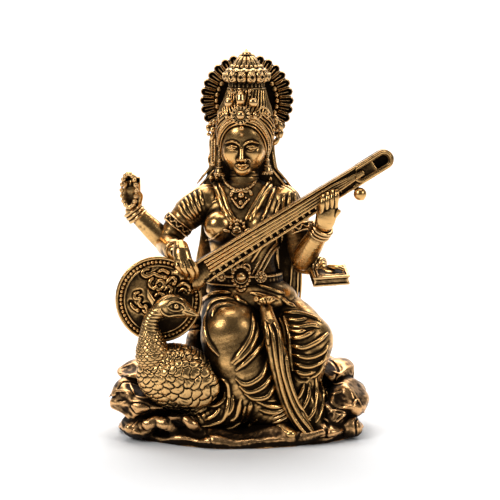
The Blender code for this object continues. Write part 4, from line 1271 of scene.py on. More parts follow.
def strap_field(side):
    """A scarf in rolls from the shoulder to the brooch."""
    if side < 0:
        rolls = [
            ([(-8.1, 54.0), (-7.2, 52.3), (-6.4, 49.9), (-5.5, 47.4), (-4.2, 45.3)], 0.56),
            ([(-7.0, 54.1), (-6.1, 51.9), (-5.3, 49.6), (-4.5, 47.4), (-3.5, 45.7)], 0.5),
        ]
    else:
        rolls = [
            ([(3.9, 53.8), (2.3, 51.2), (0.7, 48.5), (-0.9, 45.7)], 0.5),
            ([(4.0, 52.4), (2.5, 50.2), (1.1, 47.7), (0.0, 45.5)], 0.56),
        ]
    lines = [drawn_line(trunk_form, drawn, radius, 0.15, 0.8, 8) for drawn, radius in rolls]

    def field(P):
        d = nothing(P)
        for points, radii in lines:
            d = join(d, chain(P, points, radii), 0.06)
        return d

    return field


def necklace_field():
    """Nuggets on a cord, and a pendant of a ball, two ovals and a cup with a drop."""
    collar = drawn_line(
        trunk_form,
        [(-5.6, 53.9), (-4.8, 52.6), (-3.7, 51.8), (-2.4, 51.5), (-1.0, 51.7), (0.3, 52.5), (1.3, 53.9)],
        0.24,
        0.1,
        0.9,
    )
    cup = drawn_line(
        trunk_form, [(-3.8, 49.7), (-3.0, 48.6), (-2.1, 47.8), (-1.2, 48.8), (-0.4, 49.6)], 0.24, 0.15
    )
    crest = drawn_line(
        trunk_form, [(-4.1, 51.4), (-3.1, 51.2), (-2.1, 51.4), (-1.0, 51.2), (-0.1, 51.5)], 0.26, 0.2
    )
    stones = studs_on(
        trunk_form,
        [
            ((-2.0, 50.4), 0.3, (0.66, 0.5, 0.66), 0),
            ((-4.0, 50.6), 0.2, (0.4, 0.4, 0.6), 20),
            ((0.0, 50.8), 0.2, (0.4, 0.4, 0.6), -20),
            ((-2.1, 48.9), 0.25, (0.42, 0.4, 0.5), 0),
            ((-2.1, 47.3), 0.25, (0.34, 0.35, 0.44), 0),
            ((-3.1, 49.8), 0.2, (0.26, 0.3, 0.26), 0),
            ((-1.0, 49.9), 0.2, (0.26, 0.3, 0.26), 0),
        ],
    )

    def field(P):
        d = chain(P, collar[0], collar[1])
        d = add(P, d, [cup, crest], 0.05)
        d = beads(P, d, along(collar[0] + VIEW_BACK * 0.12, 0.72), 0.36)
        d = beads(P, d, along(cup[0] + VIEW_BACK * 0.1, 0.5), 0.25)
        return studs(P, d, stones, 0.05)

    return field


def brooch_field():
    """A smooth oval stone below an arch of petals, with a leaf to each side."""
    oval = spot(trunk_form, (-2.9, 43.4), 0.55)
    left_half = [(-4.2, 43.9), (-4.1, 44.7), (-3.5, 45.1), (-2.8, 45.3)]
    right_half = [(-2.1, 45.1), (-1.5, 44.7), (-1.4, 44.0)]
    arch = [spot(trunk_form, place, 0.5) for place in left_half + right_half]
    rows = [(oval, (1.0, 0.6, 0.78), 0)]
    rows += [(centre, (0.36, 0.35, 0.36), 0) for centre in arch]
    rows += [
        (spot(trunk_form, (-5.0, 43.2), 0.35), (0.75, 0.4, 0.36), 20),
        (spot(trunk_form, (-0.7, 43.4), 0.35), (0.75, 0.4, 0.36), -25),
    ]
    rows += [
        (spot(trunk_form, (-2.9, 42.3), 0.35), (0.6, 0.4, 0.3), 0),
        (spot(trunk_form, (-2.9, 44.5), 0.4), (0.55, 0.4, 0.4), 0),
    ]

    def field(P):
        d = nothing(P)
        d = join(d, ring(P, oval - VIEW_BACK * 0.35, axes_towards(VIEW_BACK), 1.05, 0.26), 0.08)
        return studs(P, d, rows, 0.1)

    return field


def belt_field(P):
    """A smooth band between two cords."""
    d = loft(P, [(-1.5, 0.9, 30.2, 7.9, 5.5), (-1.5, 0.9, 31.4, 8.0, 5.6), (-1.5, 0.9, 32.6, 7.7, 5.4)])
    z = P[:, 2]
    for level, size in ((30.5, 0.26), (32.3, 0.24)):
        d -= size * np.exp(-(((z - level) / 0.26) ** 2))
    angle = np.arctan2((P[:, 1] - 0.9) * 1.4, P[:, 0] + 1.5)
    return d - 0.03 * np.sin(angle * 44) * smooth_step(0.75, 0.45, np.abs(z - 31.4))


def waist_base(P):
    return join(belt_field(P), join(trunk_form(P), lap_form(P), 0.6), 0.2)


def buckle_field():
    """A ball in an oval frame of knobs, and a flower to each side of it."""
    ball_place = spot(waist_base, (-2.0, 33.8), 0.7)
    knobs = []
    for i in range(16):
        a = 2 * math.pi * i / 16
        knobs.append(ball_place + np.array([1.75 * math.cos(a), 0.3, 2.1 * math.sin(a)]))
    curls = drawn_lines(
        waist_base,
        [
            ([(-1.6, 36.2), (-0.9, 36.5), (-0.2, 35.9), (-0.3, 35.0)], 0.22, 0.35),
            ([(-2.4, 36.2), (-3.2, 36.5), (-3.9, 35.9), (-3.8, 35.0)], 0.22, 0.35),
            ([(-3.1, 31.6), (-2.1, 31.0), (-1.0, 31.6)], 0.26, 0.35),
        ],
    )
    flowers = [(spot(waist_base, (2.0, 33.8), 0.3), 1.25), (spot(waist_base, (-6.0, 33.8), 0.3), 1.0)]

    def field(P):
        d = ball(P, ball_place, (0.95, 0.8, 0.95))
        d = join(d, ball(P, ball_place + (0, 0.75, 0), (1.85, 0.55, 2.2)), 0.06)
        d = join(d, ring(P, ball_place + (0, 0.4, 0), axes_towards(VIEW_BACK), 1.3, 0.14), 0.05)
        d = beads(P, d, knobs, 0.36)
        d = add(P, d, curls, 0.06)
        for centre, reach in flowers:
            d = flower(P, d, centre, axes_towards(VIEW_BACK), 9, reach, 0.26, 0.42)
        return d

    return field


def sash_field():
    """A latticed band across the waist: two cords with crossing cords between them."""
    curve, _ = spline([(0.6, 33.4), (2.2, 36.3), (4.1, 39.5), (6.7, 41.7)], 1.0, 8)
    middle = lay(trunk_form, curve) + VIEW_BACK * 0.25
    run = np.gradient(middle, axis=0)
    side = np.cross(run, VIEW_BACK)
    side /= np.linalg.norm(side, axis=1)[:, None]
    stops = np.arange(0, len(middle))
    zigs = []
    for k in (0, 1):
        swing = 0.55 * np.where((stops + k) % 2 == 0, 1, -1)
        zigs.append(middle + side * swing[:, None] + VIEW_BACK * 0.1)

    def field(P):
        d = chain(P, middle + side * 0.72, np.full(len(middle), 0.25))
        d = join(d, chain(P, middle - side * 0.72, np.full(len(middle), 0.25)), 0.04)
        d = join(d, chain(P, middle - VIEW_BACK * 0.25, np.full(len(middle), 0.6)), 0.04)
        for zig in zigs:
            d = join(d, chain(P, zig, np.full(len(zig), 0.17)), 0.04)
        return beads(P, d, list(middle + VIEW_BACK * 0.25), 0.22)

    return field


def arm_base(side):
    if side < 0:
        points = [(-9.0, 2.5, 46.6), (-12.2, 2.3, 44.7), (-14.6, 1.9, 42.2), RIGHT_ELBOW]
    else:
        points = [(6.6, 2.6, 46.4), (8.2, 2.0, 43.8), (9.4, 0.6, 40.0), LEFT_ELBOW]
    return lambda P: limb(P, points, [3.5, 3.2, 2.8, 2.3])


# ---- arms and hands ----


def sleeve_arm_field(side):
    """The upper arm in a pleated sleeve."""
    base = arm_base(side)
    if side < 0:
        pleats = [
            [(-10.5, 51.4), (-10.2, 50.1), (-9.8, 48.7)],
            [(-11.5, 51.0), (-11.0, 49.3), (-10.3, 47.4)],
            [(-12.5, 50.4), (-11.8, 48.5), (-10.9, 46.7)],
            [(-13.3, 49.8), (-12.4, 47.9), (-11.4, 46.2)],
            [(-14.0, 49.0), (-13.1, 47.3), (-12.0, 45.8)],
            [(-14.7, 48.1), (-13.7, 46.8), (-12.5, 45.5)],
        ]
        start, run = np.array((-9.0, 2.5, 46.6)), unit((-5.6, -0.6, -4.4))
    else:
        pleats = [
            [(6.7, 50.3), (6.5, 48.3), (6.7, 46.0)],
            [(7.9, 50.8), (7.7, 48.5), (7.9, 46.0)],
            [(9.0, 50.5), (9.0, 48.3), (9.1, 45.8)],
            [(10.0, 49.7), (10.1, 47.6), (10.2, 45.6)],
        ]
        start, run = np.array((6.6, 2.6, 46.4)), unit((2.8, -2.0, -6.4))
    ridges = [drawn_line(base, drawn, 0.36, 0.0, 0.7) for drawn in pleats]
    axes = axes_towards(run)

    def field(P):
        d = base(P)
        s = (P - vec(start)) @ vec(run)
        sleeve = smooth_step(5.9, 5.2, s)
        around = local(P, start, axes)
        angle = np.arctan2(around[:, 0], around[:, 1])
        hidden = smooth_step(0.5, 2.5, P[:, 1])
        d = d - sleeve * (0.1 + 0.14 * hidden * np.sin(angle * 13 + 0.5 * np.sin(s)))
        return add(P, d, ridges, 0.14)

    return field


def armlet_field(side):
    """A broad band: two rims with curls standing between them."""
    if side < 0:
        centre, run = np.array([-14.9, 1.85, 42.1]), unit((-0.62, -0.1, -0.78))
    else:
        centre, run = np.array([10.0, 0.9, 41.2]), unit((0.3, -0.3, -0.95))
    axes = axes_towards(run)

    def field(P):
        d = lathe(
            P, [(3.0, -0.95), (3.25, -0.75), (3.0, -0.5), (3.0, 0.5), (3.25, 0.75), (3.0, 0.95)], centre, axes
        )
        q = local(P, centre, axes)
        angle = np.arctan2(q[:, 1], q[:, 0])
        wave = q[:, 2] - 0.32 * np.sin(angle * 11)
        d -= 0.22 * np.exp(-((wave / 0.17) ** 2)) * smooth_step(0.6, 0.4, np.abs(q[:, 2]))
        rows = []
        for i in range(22):
            a = 2 * math.pi * (i + 0.5) / 22 - math.pi / 44 * (-1) ** i
            rows.append(centre + axes @ np.array([3.1 * math.cos(a), 3.1 * math.sin(a), 0.28 * (-1) ** i]))
        return beads(P, d, rows, 0.2)

    return field


# ---- folds of the skirt, drawn in the front view ----

RIGHT_SHIN_FOLDS = [
    [(-9.0, 26.7), (-9.4, 24.0), (-8.6, 20.6), (-6.7, 17.9)],
    [(-9.0, 26.7), (-7.9, 28.5), (-5.9, 29.3), (-3.7, 29.3)],
    [(-7.9, 25.9), (-7.1, 27.5), (-5.5, 28.2), (-3.5, 28.1)],
    [(0.3, 26.3), (0.4, 24.0), (-0.2, 21.4), (-2.2, 18.3), (-3.8, 16.4)],
    [(1.3, 24.4), (1.2, 22.0), (-0.2, 19.3), (-1.6, 17.7), (-3.3, 16.1)],
    [(2.2, 24.0), (2.3, 20.6), (1.0, 18.5), (-1.0, 16.5), (-2.9, 14.9)],
    [(3.5, 23.8), (3.7, 19.3), (3.1, 16.3), (2.2, 13.8), (0.1, 12.2), (-1.6, 12.0), (-2.9, 13.0)],
    [(4.5, 18.9), (4.2, 14.5), (3.2, 12.2), (1.4, 10.8), (-0.6, 10.4), (-2.2, 11.5)],
    [(5.2, 15.3), (4.5, 11.5), (3.2, 9.4), (0.8, 9.0), (-1.2, 10.0)],
    [(5.2, 11.6), (5.9, 9.6), (6.4, 8.3), (6.1, 7.4), (3.9, 7.5), (1.2, 8.4)],
    [(2.0, 6.7), (4.5, 6.2), (6.7, 7.0)],
    [(-2.1, 8.8), (-2.9, 5.7), (-4.3, 4.3)],
    [(-1.1, 7.3), (-2.0, 4.7), (-3.7, 3.3), (-6.3, 2.6)],
    [(0.0, 8.3), (-0.4, 6.3), (-1.4, 4.1)],
]

LEFT_KNEE_FOLDS = [
    [(6.9, 26.6), (9.6, 26.5), (12.4, 25.7), (14.4, 24.7)],
    [(7.3, 25.2), (9.4, 25.0), (11.2, 25.3)],
    [(7.5, 24.0), (9.6, 23.6), (12.4, 24.0), (14.0, 23.6)],
    [(8.1, 21.4), (10.3, 21.6), (12.8, 22.8)],
    [(8.1, 20.0), (10.6, 19.4), (13.4, 20.6), (15.7, 22.4)],
    [(8.3, 18.1), (11.6, 17.4), (14.4, 18.4), (16.0, 20.6)],
    [(8.4, 16.3), (11.6, 15.5), (14.3, 16.6), (15.5, 18.5)],
    [(12.4, 13.3), (13.8, 14.5), (14.6, 16.1)],
    [(8.8, 14.7), (10.8, 14.1), (13.0, 14.5)],
    [(7.5, 23.0), (9.4, 22.7), (11.0, 22.9)],
]

WAIST_FOLDS = [
    [(-8.8, 30.3), (-6.3, 30.7), (-4.3, 30.6)],
    [(-9.8, 28.5), (-9.2, 29.5), (-8.1, 30.2)],
    [(-3.3, 30.1), (-2.2, 28.9), (-0.8, 28.3)],
    [(0.1, 30.6), (2.9, 29.9), (5.5, 29.3)],
    [(1.4, 32.2), (4.2, 31.2), (6.7, 30.5)],
    [(1.2, 28.8), (2.6, 28.0), (4.3, 27.6)],
    [(6.3, 29.5), (7.5, 28.5), (9.0, 27.8)],
]

DRAPE_FOLDS = [
    [(12.0, 12.0), (11.6, 9.2), (10.3, 6.7), (9.3, 5.7)],
    [(13.2, 13.2), (13.4, 10.2), (12.8, 6.7), (11.6, 4.9), (10.0, 4.0)],
    [(10.8, 11.9), (10.0, 9.8), (8.8, 8.6)],
    [(14.2, 12.8), (14.7, 9.8), (14.3, 6.5), (13.2, 4.3)],
    [(15.3, 12.0), (15.9, 9.2), (15.7, 6.3)],
]

HEM_FOLDS = [
    [(-7.0, 13.3), (-5.1, 12.5), (-4.5, 10.2), (-4.8, 7.1), (-5.7, 4.7), (-8.0, 3.7), (-10.4, 3.3)],
    [(-5.3, 10.4), (-5.5, 9.0), (-7.0, 7.7), (-9.4, 7.2), (-10.8, 6.2), (-10.4, 4.9)],
    [(-11.4, 1.4), (-9.4, 2.0), (-7.7, 2.4), (-6.3, 1.6), (-3.7, 1.8), (-1.2, 2.3), (-0.2, 3.7), (1.2, 4.7)],
    [(-7.9, 9.6), (-9.2, 8.8), (-10.6, 7.9)],
    [(-3.7, 9.6), (-3.9, 7.1), (-5.0, 5.3)],
    [(-9.2, 4.7), (-7.5, 5.6), (-6.5, 6.9)],
]

SKIRT_SLOTS = [
    ([(2.2, 8.3), (3.9, 8.1), (5.9, 8.3)], 0.3),
    ([(9.0, 13.7), (10.2, 13.0), (11.8, 13.0)], 0.34),
    ([(1.2, 22.8), (0.6, 20.4), (-0.8, 17.9), (-2.2, 16.1)], 0.2),
]


def skirt_folds():
    """The folds of the skirt as strokes laid over all its castings at once."""
    ridges = []
    for rows, size in (
        (RIGHT_SHIN_FOLDS, 0.5),
        (LEFT_KNEE_FOLDS, 0.47),
        (WAIST_FOLDS, 0.42),
        (DRAPE_FOLDS, 0.4),
        (HEM_FOLDS, 0.42),
    ):
        ridges += [drawn_line(skirt_form, drawn, size, 0.0, 0.35, 6) for drawn in rows]
    slots = [drawn_line(skirt_form, drawn, size, 0.1, 0.4) for drawn, size in SKIRT_SLOTS]
    return ridges, slots


def folded(base, folds):
    """A casting of cloth: its plain form, the drawn folds where they reach it, and soft folds behind."""
    ridges, slots = folds

    def field(P):
        d = base(P)
        near = np.flatnonzero(np.abs(d) < 2.0)
        N, e = P[near], d[near]
        e = add(N, e.copy(), ridges, 0.22)
        e = np.where(d[near] < 0.95, e, d[near])
        e = add(N, e, slots, 0.15, dig=True)
        hidden = smooth_step(-3.0, 1.0, N[:, 1])
        e = e - 0.22 * hidden * np.sin(N[:, 0] * 1.7 + N[:, 2] * 0.9 + 0.8 * np.sin(N[:, 1] * 0.6))
        d[near] = e
        return d

    return field


def forearm_field(elbow, wrist, start, radii):
    first = np.add(elbow, start)
    path = [first, first + 0.45 * np.subtract(wrist, first), wrist]

    def field(P):
        return limb(P, path, radii)

    return field


def bangles_field(wrist, direction, radius, count=3):
    """Round hoops side by side on a core."""
    axes = axes_towards(direction)

    def field(P):
        d = None
        for i in range(count):
            centre = np.array(wrist) + axes[:, 2] * ((i - (count - 1) / 2) * 0.8)
            hoop = ring(P, centre, axes, radius, 0.38)
            d = hoop if d is None else join(d, hoop, 0.05)
        core = lathe(P, [(radius, -0.8 * count / 2 + 0.2), (radius, 0.8 * count / 2 - 0.2)], wrist, axes)
        return join(d, core, 0.05)

    return field


def fingers(P, palm, fingers_paths, thumb, blend=0.25):
    d = limb(P, palm["points"], palm["radii"], palm.get("flat", 0.7), palm.get("across", (0, 1, 0)))
    for path, radius in fingers_paths:
        d = join(d, limb(P, path, [radius, radius, radius * 0.95, radius * 0.72][: len(path)]), blend)
    return join(d, limb(P, thumb[0], thumb[1]), blend)


def raised_hand_field(P):
    base = np.array(RAISED_WRIST) + (0, 0, 0.4)
    palm = {
        "points": [base, base + (-0.3, -0.1, 2.0), base + (-0.2, -0.4, 3.8)],
        "radii": [1.3, 1.8, 1.8],
        "flat": 0.6,
    }
    paths = []
    for i, x in enumerate((-1.3, -0.5, 0.35, 1.15)):
        low = base + (x, -0.5, 3.6)
        bend = low + (0.05, -0.5, 1.7 + 0.25 * math.sin(i * 1.2))
        top = low + (0.1, -1.5, 2.9 + 0.3 * math.sin(i * 1.2))
        paths.append(([low, bend, top, low + (0.1, -2.1, 2.2)], 0.5))
    thumb = ([base + (1.3, -0.3, 1.2), base + (1.7, -1.2, 2.8), base + (1.1, -2.0, 3.8)], [0.6, 0.5, 0.4])
    return fingers(P, palm, paths, thumb, 0.12)


def prayer_beads_field(P):
    centre = np.array(RAISED_WRIST) + (-0.6, -1.6, 4.4)
    rows = []
    for i in range(18):
        a = 2 * math.pi * i / 18
        rows.append(centre + (1.5 * math.cos(a), -0.7 - 0.3 * math.cos(a), 3.4 * math.sin(a)))
    d = chain(P, rows + [rows[0]], [0.2] * 19)
    return beads(P, d, rows, 0.5)


def hand_lines(rows, radii, palm, palm_radii, flat=0.66):
    """A hand from places in the front view with depths: each finger is a row of (place, depth)."""

    def field(P):
        back = [at(*place, depth) for place, depth in palm]
        d = limb(P, back, palm_radii, flat, (0, 1, 0))
        for row, radius in zip(rows, radii):
            points = [at(*place, depth) for place, depth in row]
            d = join(d, limb(P, points, [radius * k for k in (1.0, 1.0, 0.92, 0.7)[: len(points)]]), 0.1)
            d = join(d, ball(P, points[1], (radius * 1.14,) * 3), 0.12)
        return d

    return field


def plucking_hand_field():
    rows = [
        [((-12.5, 37.3), -11.6), ((-11.5, 36.0), -12.0), ((-11.0, 34.8), -11.4), ((-11.2, 33.7), -10.4)],
        [((-13.4, 37.3), -12.0), ((-12.5, 35.6), -12.6), ((-11.9, 34.2), -12.0), ((-12.2, 32.9), -10.8)],
        [((-14.3, 37.3), -12.0), ((-13.7, 35.7), -12.6), ((-13.2, 34.6), -12.0), ((-13.3, 33.6), -10.8)],
        [((-15.2, 37.3), -11.4), ((-14.9, 36.0), -12.0), ((-14.4, 35.1), -11.6), ((-13.8, 34.3), -10.6)],
    ]
    palm = [((-14.3, 39.8), -9.6), ((-14.1, 38.5), -10.8), ((-13.8, 37.1), -11.4)]
    return hand_lines(rows, [0.52, 0.56, 0.54, 0.5], palm, [1.55, 1.75, 1.8])


def fretting_hand_field(P):
    wrist = np.array(FRETTING_WRIST) + (0.1, -0.8, 0.5)
    palm = {
        "points": [wrist, wrist + (0.4, -1.2, 1.4), wrist + (0.9, -1.2, 4.0)],
        "radii": [1.5, 2.0, 2.1],
        "flat": 0.7,
    }
    paths = []
    for x in (-1.5, -0.5, 0.5, 1.4):
        low = wrist + (1.0 + x * 0.95, -2.0, 3.6 + x * 0.45)
        paths.append(([low, low + (0.15, -1.0, 1.8), low + (0.3, -0.4, 3.2), low + (0.4, 0.9, 3.4)], 0.52))
    thumb = ([wrist + (2.0, -1.4, 2.0), wrist + (3.0, -2.0, 3.2)], [0.6, 0.45])
    return fingers(P, palm, paths, thumb, 0.1)


def book_hand_field(P):
    wrist = np.array(BOOK_WRIST) + (0.6, -0.5, 0.1)
    palm = {
        "points": [wrist, wrist + (1.4, -0.9, -0.8), wrist + (3.2, -1.6, -2.0)],
        "radii": [1.2, 1.6, 1.5],
        "flat": 0.6,
        "across": (0, 0.2, 1),
    }
    paths = []
    for y in (-1.5, -0.5, 0.5):
        low = wrist + (1.8, -1.4 + y, -2.6)
        paths.append(([low, low + (1.6, -0.6, -0.9), low + (3.0, -1.0, -0.5), low + (3.9, -1.2, 0.2)], 0.5))
    thumb = (
        [wrist + (1.2, -1.4, 0.4), wrist + (2.8, -2.6, 0.5), wrist + (4.0, -3.0, 0.1)], [0.5, 0.48, 0.36]
    )
    return fingers(P, palm, paths, thumb, 0.12)


def book_field(P):
    """A closed book held level: framed cover, block of leaves, and a clasp line."""
    axes = turn(16, -3, 6)
    centre = np.array(at(16.0, 34.1, -5.4))
    d = slab(P, centre, (3.7, 2.7, 1.05), axes, 0.12)
    q = local(P, centre, axes)
    near_edge = np.minimum(3.7 - np.abs(q[:, 0]), 2.7 - np.abs(q[:, 1]))
    leaves = np.maximum(np.abs(q[:, 2]) - 0.6, near_edge - 0.22)
    d = carve(d, leaves + 0.03 * np.sin(q[:, 2] * 24), 0.05)
    panel = np.maximum(0.62 - near_edge, 0.85 - q[:, 2])
    d = carve(d, panel, 0.1)
    frame = np.maximum(np.abs(near_edge - 1.1) - 0.16, np.abs(q[:, 2] - 0.88) - 0.14)
    d = join(d, frame, 0.08)
    return join(d, ball(P, centre + axes[:, 2] * 0.88, (0.9, 0.6, 0.22), axes), 0.08)


# ---- rocks ----


def crumpled(P, d, seed, deep=0.3):
    """A few sharp creases and soft swellings worn into rock."""
    near = np.flatnonzero(np.abs(d) < 2.5)
    N = P[near]
    crease = np.abs(waves(N, 13.0, seed, 9))
    d[near] += deep * (0.4 - smooth_step(0.0, 0.2, crease))
    d[near] -= 0.16 * waves(N, 5.0, seed + 2) + 0.012 * waves(N, 1.2, seed + 3)
    return d


ROCK_RIDGES = [
    [(14.0, 16.0), (15.5, 14.7), (17.3, 14.3), (19.1, 13.4)],
    [(14.9, 11.2), (16.1, 11.7), (17.7, 11.9), (19.5, 12.4)],
    [(19.5, 11.8), (21.0, 10.0), (22.2, 8.1), (23.1, 6.1)],
    [(15.5, 9.6), (17.3, 10.1), (19.3, 10.6)],
    [(21.6, 9.0), (20.8, 7.5), (20.5, 6.3)],
    [(15.7, 6.0), (17.3, 6.6), (19.1, 6.0), (17.9, 4.8), (16.6, 3.7)],
    [(13.4, 5.4), (15.1, 4.8), (16.7, 3.5)],
    [(-26.5, 15.3), (-24.6, 15.9), (-22.8, 16.2), (-21.2, 16.5)],
    [(-26.5, 12.5), (-25.2, 12.6), (-24.3, 11.1), (-23.3, 9.4), (-21.0, 9.2), (-19.7, 9.7)],
    [(-28.9, 9.4), (-27.5, 10.6), (-25.2, 10.5), (-23.4, 9.2)],
    [(-28.7, 8.3), (-26.3, 8.2), (-24.2, 9.0)],
    [(-23.0, 4.7), (-21.4, 5.2), (-19.3, 5.8), (-17.3, 6.1)],
    [(-25.4, 2.6), (-23.8, 3.5), (-22.8, 4.6), (-21.0, 5.3)],
]


def rock_masses(P, rows):
    """Faceted stones that meet, each (place, half sizes, seed)."""
    d = None
    for place, half, seed in rows:
        rock = keep(stone(P, place, half, seed, 13), ball(P, place, np.array(half) * 1.02), 0.4)
        d = rock if d is None else join(d, rock, 0.35)
    return d


def left_rock_base(P):
    rows = [
        ((19.0, 0.6, 6.2), (4.9, 7.0, 4.6), 22),
        (at(17.3, 14.7, 1.0), (4.0, 6.0, 2.5), 24),
        (at(19.1, 9.0, -4.0), (4.6, 6.5, 4.0), 29),
        (at(16.7, 5.9, -8.2), (3.4, 3.0, 2.6), 27),
        (at(14.5, 2.9, -10.0), (4.6, 3.5, 1.9), 28),
    ]
    return join(rock_masses(P, rows), ball(P, at(20.1, 3.2, -8.8), (2.4, 2.3, 2.2)), 0.2)


def right_rock_base(P):
    rows = [
        ((-21.8, 0.4, 7.0), (4.8, 7.0, 4.6), 32),
        (at(-23.2, 14.7, 0.0), (3.9, 6.0, 1.9), 34),
        (at(-24.8, 10.0, -5.6), (3.5, 5.0, 3.4), 36),
        (at(-22.0, 7.7, -8.2), (6.6, 4.2, 3.0), 37),
        (at(-22.6, 3.7, -8.6), (3.8, 4.6, 2.7), 38),
    ]
    return rock_masses(P, rows)


def rocks_field(base, seed):
    """Chiselled masses with sharp ridges along their edges."""
    ridges = [drawn_line(base, drawn, 0.26, -0.02, 0.4, 6) for drawn in ROCK_RIDGES]

    def field(P):
        d = crumpled(P, base(P), seed, 0.18)
        e = add(P, d.copy(), ridges, 0.16)
        return keep(clipped(d, e, 0.8), 0.5 - P[:, 2], 0.1)

    return field


def ledge(P, places, radius, depth, flat=0.6):
    """A rounded rock edge through places in the front view."""
    points = [at(*place, depth + 0.4 * math.sin(2.3 * i)) for i, place in enumerate(places)]
    return limb(
        P,
        points,
        [radius * (0.8 + 0.3 * math.sin(1.7 * i + radius) ** 2) for i in range(len(points))],
        flat,
        (0, 1, 0),
    )


# ---- lute ----


def lute_neck_field(P):
    """The long neck: two rails, a lane of notches and a tail block."""
    axes = lute_axes()
    q = local(P, LUTE_TAIL, axes)
    span = float(np.linalg.norm(np.subtract(LUTE_TOP, LUTE_TAIL)))
    t = np.clip(q[:, 2] / span, 0, 1)
    wide = 2.35 - 0.5 * t
    body = np.maximum(np.abs(q[:, 0]) - wide, np.abs(q[:, 1] + 0.1) - 1.05)
    body = keep(body, np.maximum(-q[:, 2] - 0.6, q[:, 2] - span - 0.2), 0.3)
    d = body
    edge = np.abs(np.abs(q[:, 0]) - (wide - 0.22)) - 0.2
    rail = np.maximum(np.maximum(edge, q[:, 1] - 1.35), -q[:, 1])
    rail = np.maximum(rail, np.maximum(-q[:, 2] - 0.4, q[:, 2] - span))
    d = join(d, rail, 0.1)
    lane = np.abs(q[:, 0] + (wide - 0.85)) - 0.36
    notch = np.abs((q[:, 2] / 1.5) % 1.0 - 0.5) * 1.5 - 0.48
    hole = np.maximum(np.maximum(lane, notch), 0.55 - q[:, 1])
    hole = np.maximum(hole, q[:, 2] - span * 0.8)
    d = carve(d, hole, 0.08)
    block = limb(
        P,
        [np.array(LUTE_TAIL), np.array(LUTE_TAIL) - axes[:, 2] * 2.6, np.array(LUTE_TAIL) - axes[:, 2] * 5.2],
        [2.1, 2.7, 3.4],
        0.55,
        (0, 1, 0),
    )
    return join(d, block, 0.4)


def lute_head_field(P):
    """The open peg box: a long loop with thick walls and a rounded end."""
    q = local(P, LUTE_TOP, lute_axes())
    over = np.maximum(np.maximum(q[:, 2] - 2.3, -q[:, 2] - 7.0), 0)
    outer = np.maximum(np.hypot(q[:, 0], over) - 1.95, np.abs(q[:, 1]) - 1.3)
    d = keep(outer, -6.0 - q[:, 2], 0.2)
    over = np.maximum(np.maximum(q[:, 2] - 2.2, -q[:, 2] - 3.0), 0)
    inside = np.hypot(q[:, 0], over) - 0.95
    d = carve(d, np.maximum(inside, -0.5 - q[:, 1]), 0.25)
    lip = np.abs(inside - 0.52) - 0.24
    lip = np.maximum(lip, np.maximum(q[:, 1] - 1.6, -q[:, 1]))
    return join(d, np.maximum(lip, -5.0 - q[:, 2]), 0.15)


def lute_strings_field(P):
    """Four strings that draw together towards the head."""
    axes = lute_axes()
    d = None
    for i in range(4):
        offset = (i - 1.5) * 0.64
        low = np.array(LUTE_TAIL) + axes[:, 2] * 1.2 + axes[:, 0] * (offset * 1.1 + 0.35) + axes[:, 1] * 1.2
        bend = np.array(LUTE_TOP) - axes[:, 2] * 9.0 + axes[:, 0] * (offset * 0.8 + 0.2) + axes[:, 1] * 1.25
        high = np.array(LUTE_TOP) - axes[:, 2] * 2.6 + axes[:, 0] * (offset * 0.28) + axes[:, 1] * 1.2
        wire = chain(P, [low, bend, high], [0.27, 0.27, 0.24])
        d = wire if d is None else join(d, wire, 0.05)
    return d


def lute_bowl_field():
    """A domed face with scrolls in relief inside a beaded rim."""
    axes = axes_towards((0.03, -1, 0.06))
    R = LUTE_BOWL_RADIUS
    centre = np.array(LUTE_BOWL)
    rim = []
    for i in range(58):
        a = 2 * math.pi * i / 58
        rim.append(centre + axes @ np.array([(R - 1.1) * math.cos(a), (R - 1.1) * math.sin(a), 1.0]))
    scrolls = [drawn_line(lute_bowl_base, drawn, 0.36, 0.1, 0.55, 6) for drawn in BOWL_SCROLLS]
    hollows = [(points + VIEW_BACK * 0.55, np.full(len(points), 0.95)) for points, _ in scrolls]
    dots = [(points[-1] + VIEW_BACK * 0.1, (0.42, 0.36, 0.42), 0) for points, _ in scrolls]

    def field(P):
        d = lute_bowl_base(P)
        d = add(P, d, hollows, 0.25, dig=True)
        d = add(P, d, scrolls, 0.08)
        d = studs(P, d, dots, 0.08)
        d = carve(d, ring(P, centre + axes[:, 2] * 1.3, axes, R - 1.1, 0.52), 0.1)
        d = join(d, ring(P, centre + axes[:, 2] * 0.9, axes, R - 0.3, 0.34), 0.06)
        d = join(d, ring(P, centre + axes[:, 2] * 0.85, axes, R - 1.85, 0.24), 0.06)
        return beads(P, d, rim, 0.36)

    return field


def tuning_ball_field(P):
    middle = np.array(at(22.2, 50.7, -8.2))
    knot = np.array(at(21.3, 52.0, -8.0))
    d = ball(P, middle, (1.3, 1.3, 1.3))
    d = join(d, limb(P, [at(20.5, 52.9, -7.8), knot, middle], [0.5, 0.42, 0.45]), 0.12)
    d = join(d, ball(P, knot, (0.62, 0.6, 0.62)), 0.1)
    return join(d, ball(P, at(22.7, 49.8, -8.4), (0.4, 0.4, 0.4)), 0.15)


# ---- legs and cloth ----


def right_foot_field(P):
    """The foot below the hem, with five toes."""
    ankle = np.array([6.0, -10.8, 4.7])
    d = limb(
        P,
        [ankle + (0, 0, -0.6), ankle + (0.6, -1.6, -1.9), ankle + (1.8, -3.4, -2.3)],
        [1.9, 1.8, 1.3],
        0.8,
        (0, 0, 1),
    )
    for i in range(5):
        toe = ankle + (2.3 - i * 0.62, -4.2 + 0.1 * abs(i - 1.5) ** 1.5, -2.75)
        d = join(d, limb(P, [toe + (0, 1.2, 0.3), toe], [0.42, 0.4 - 0.03 * i]), 0.12)
    return d


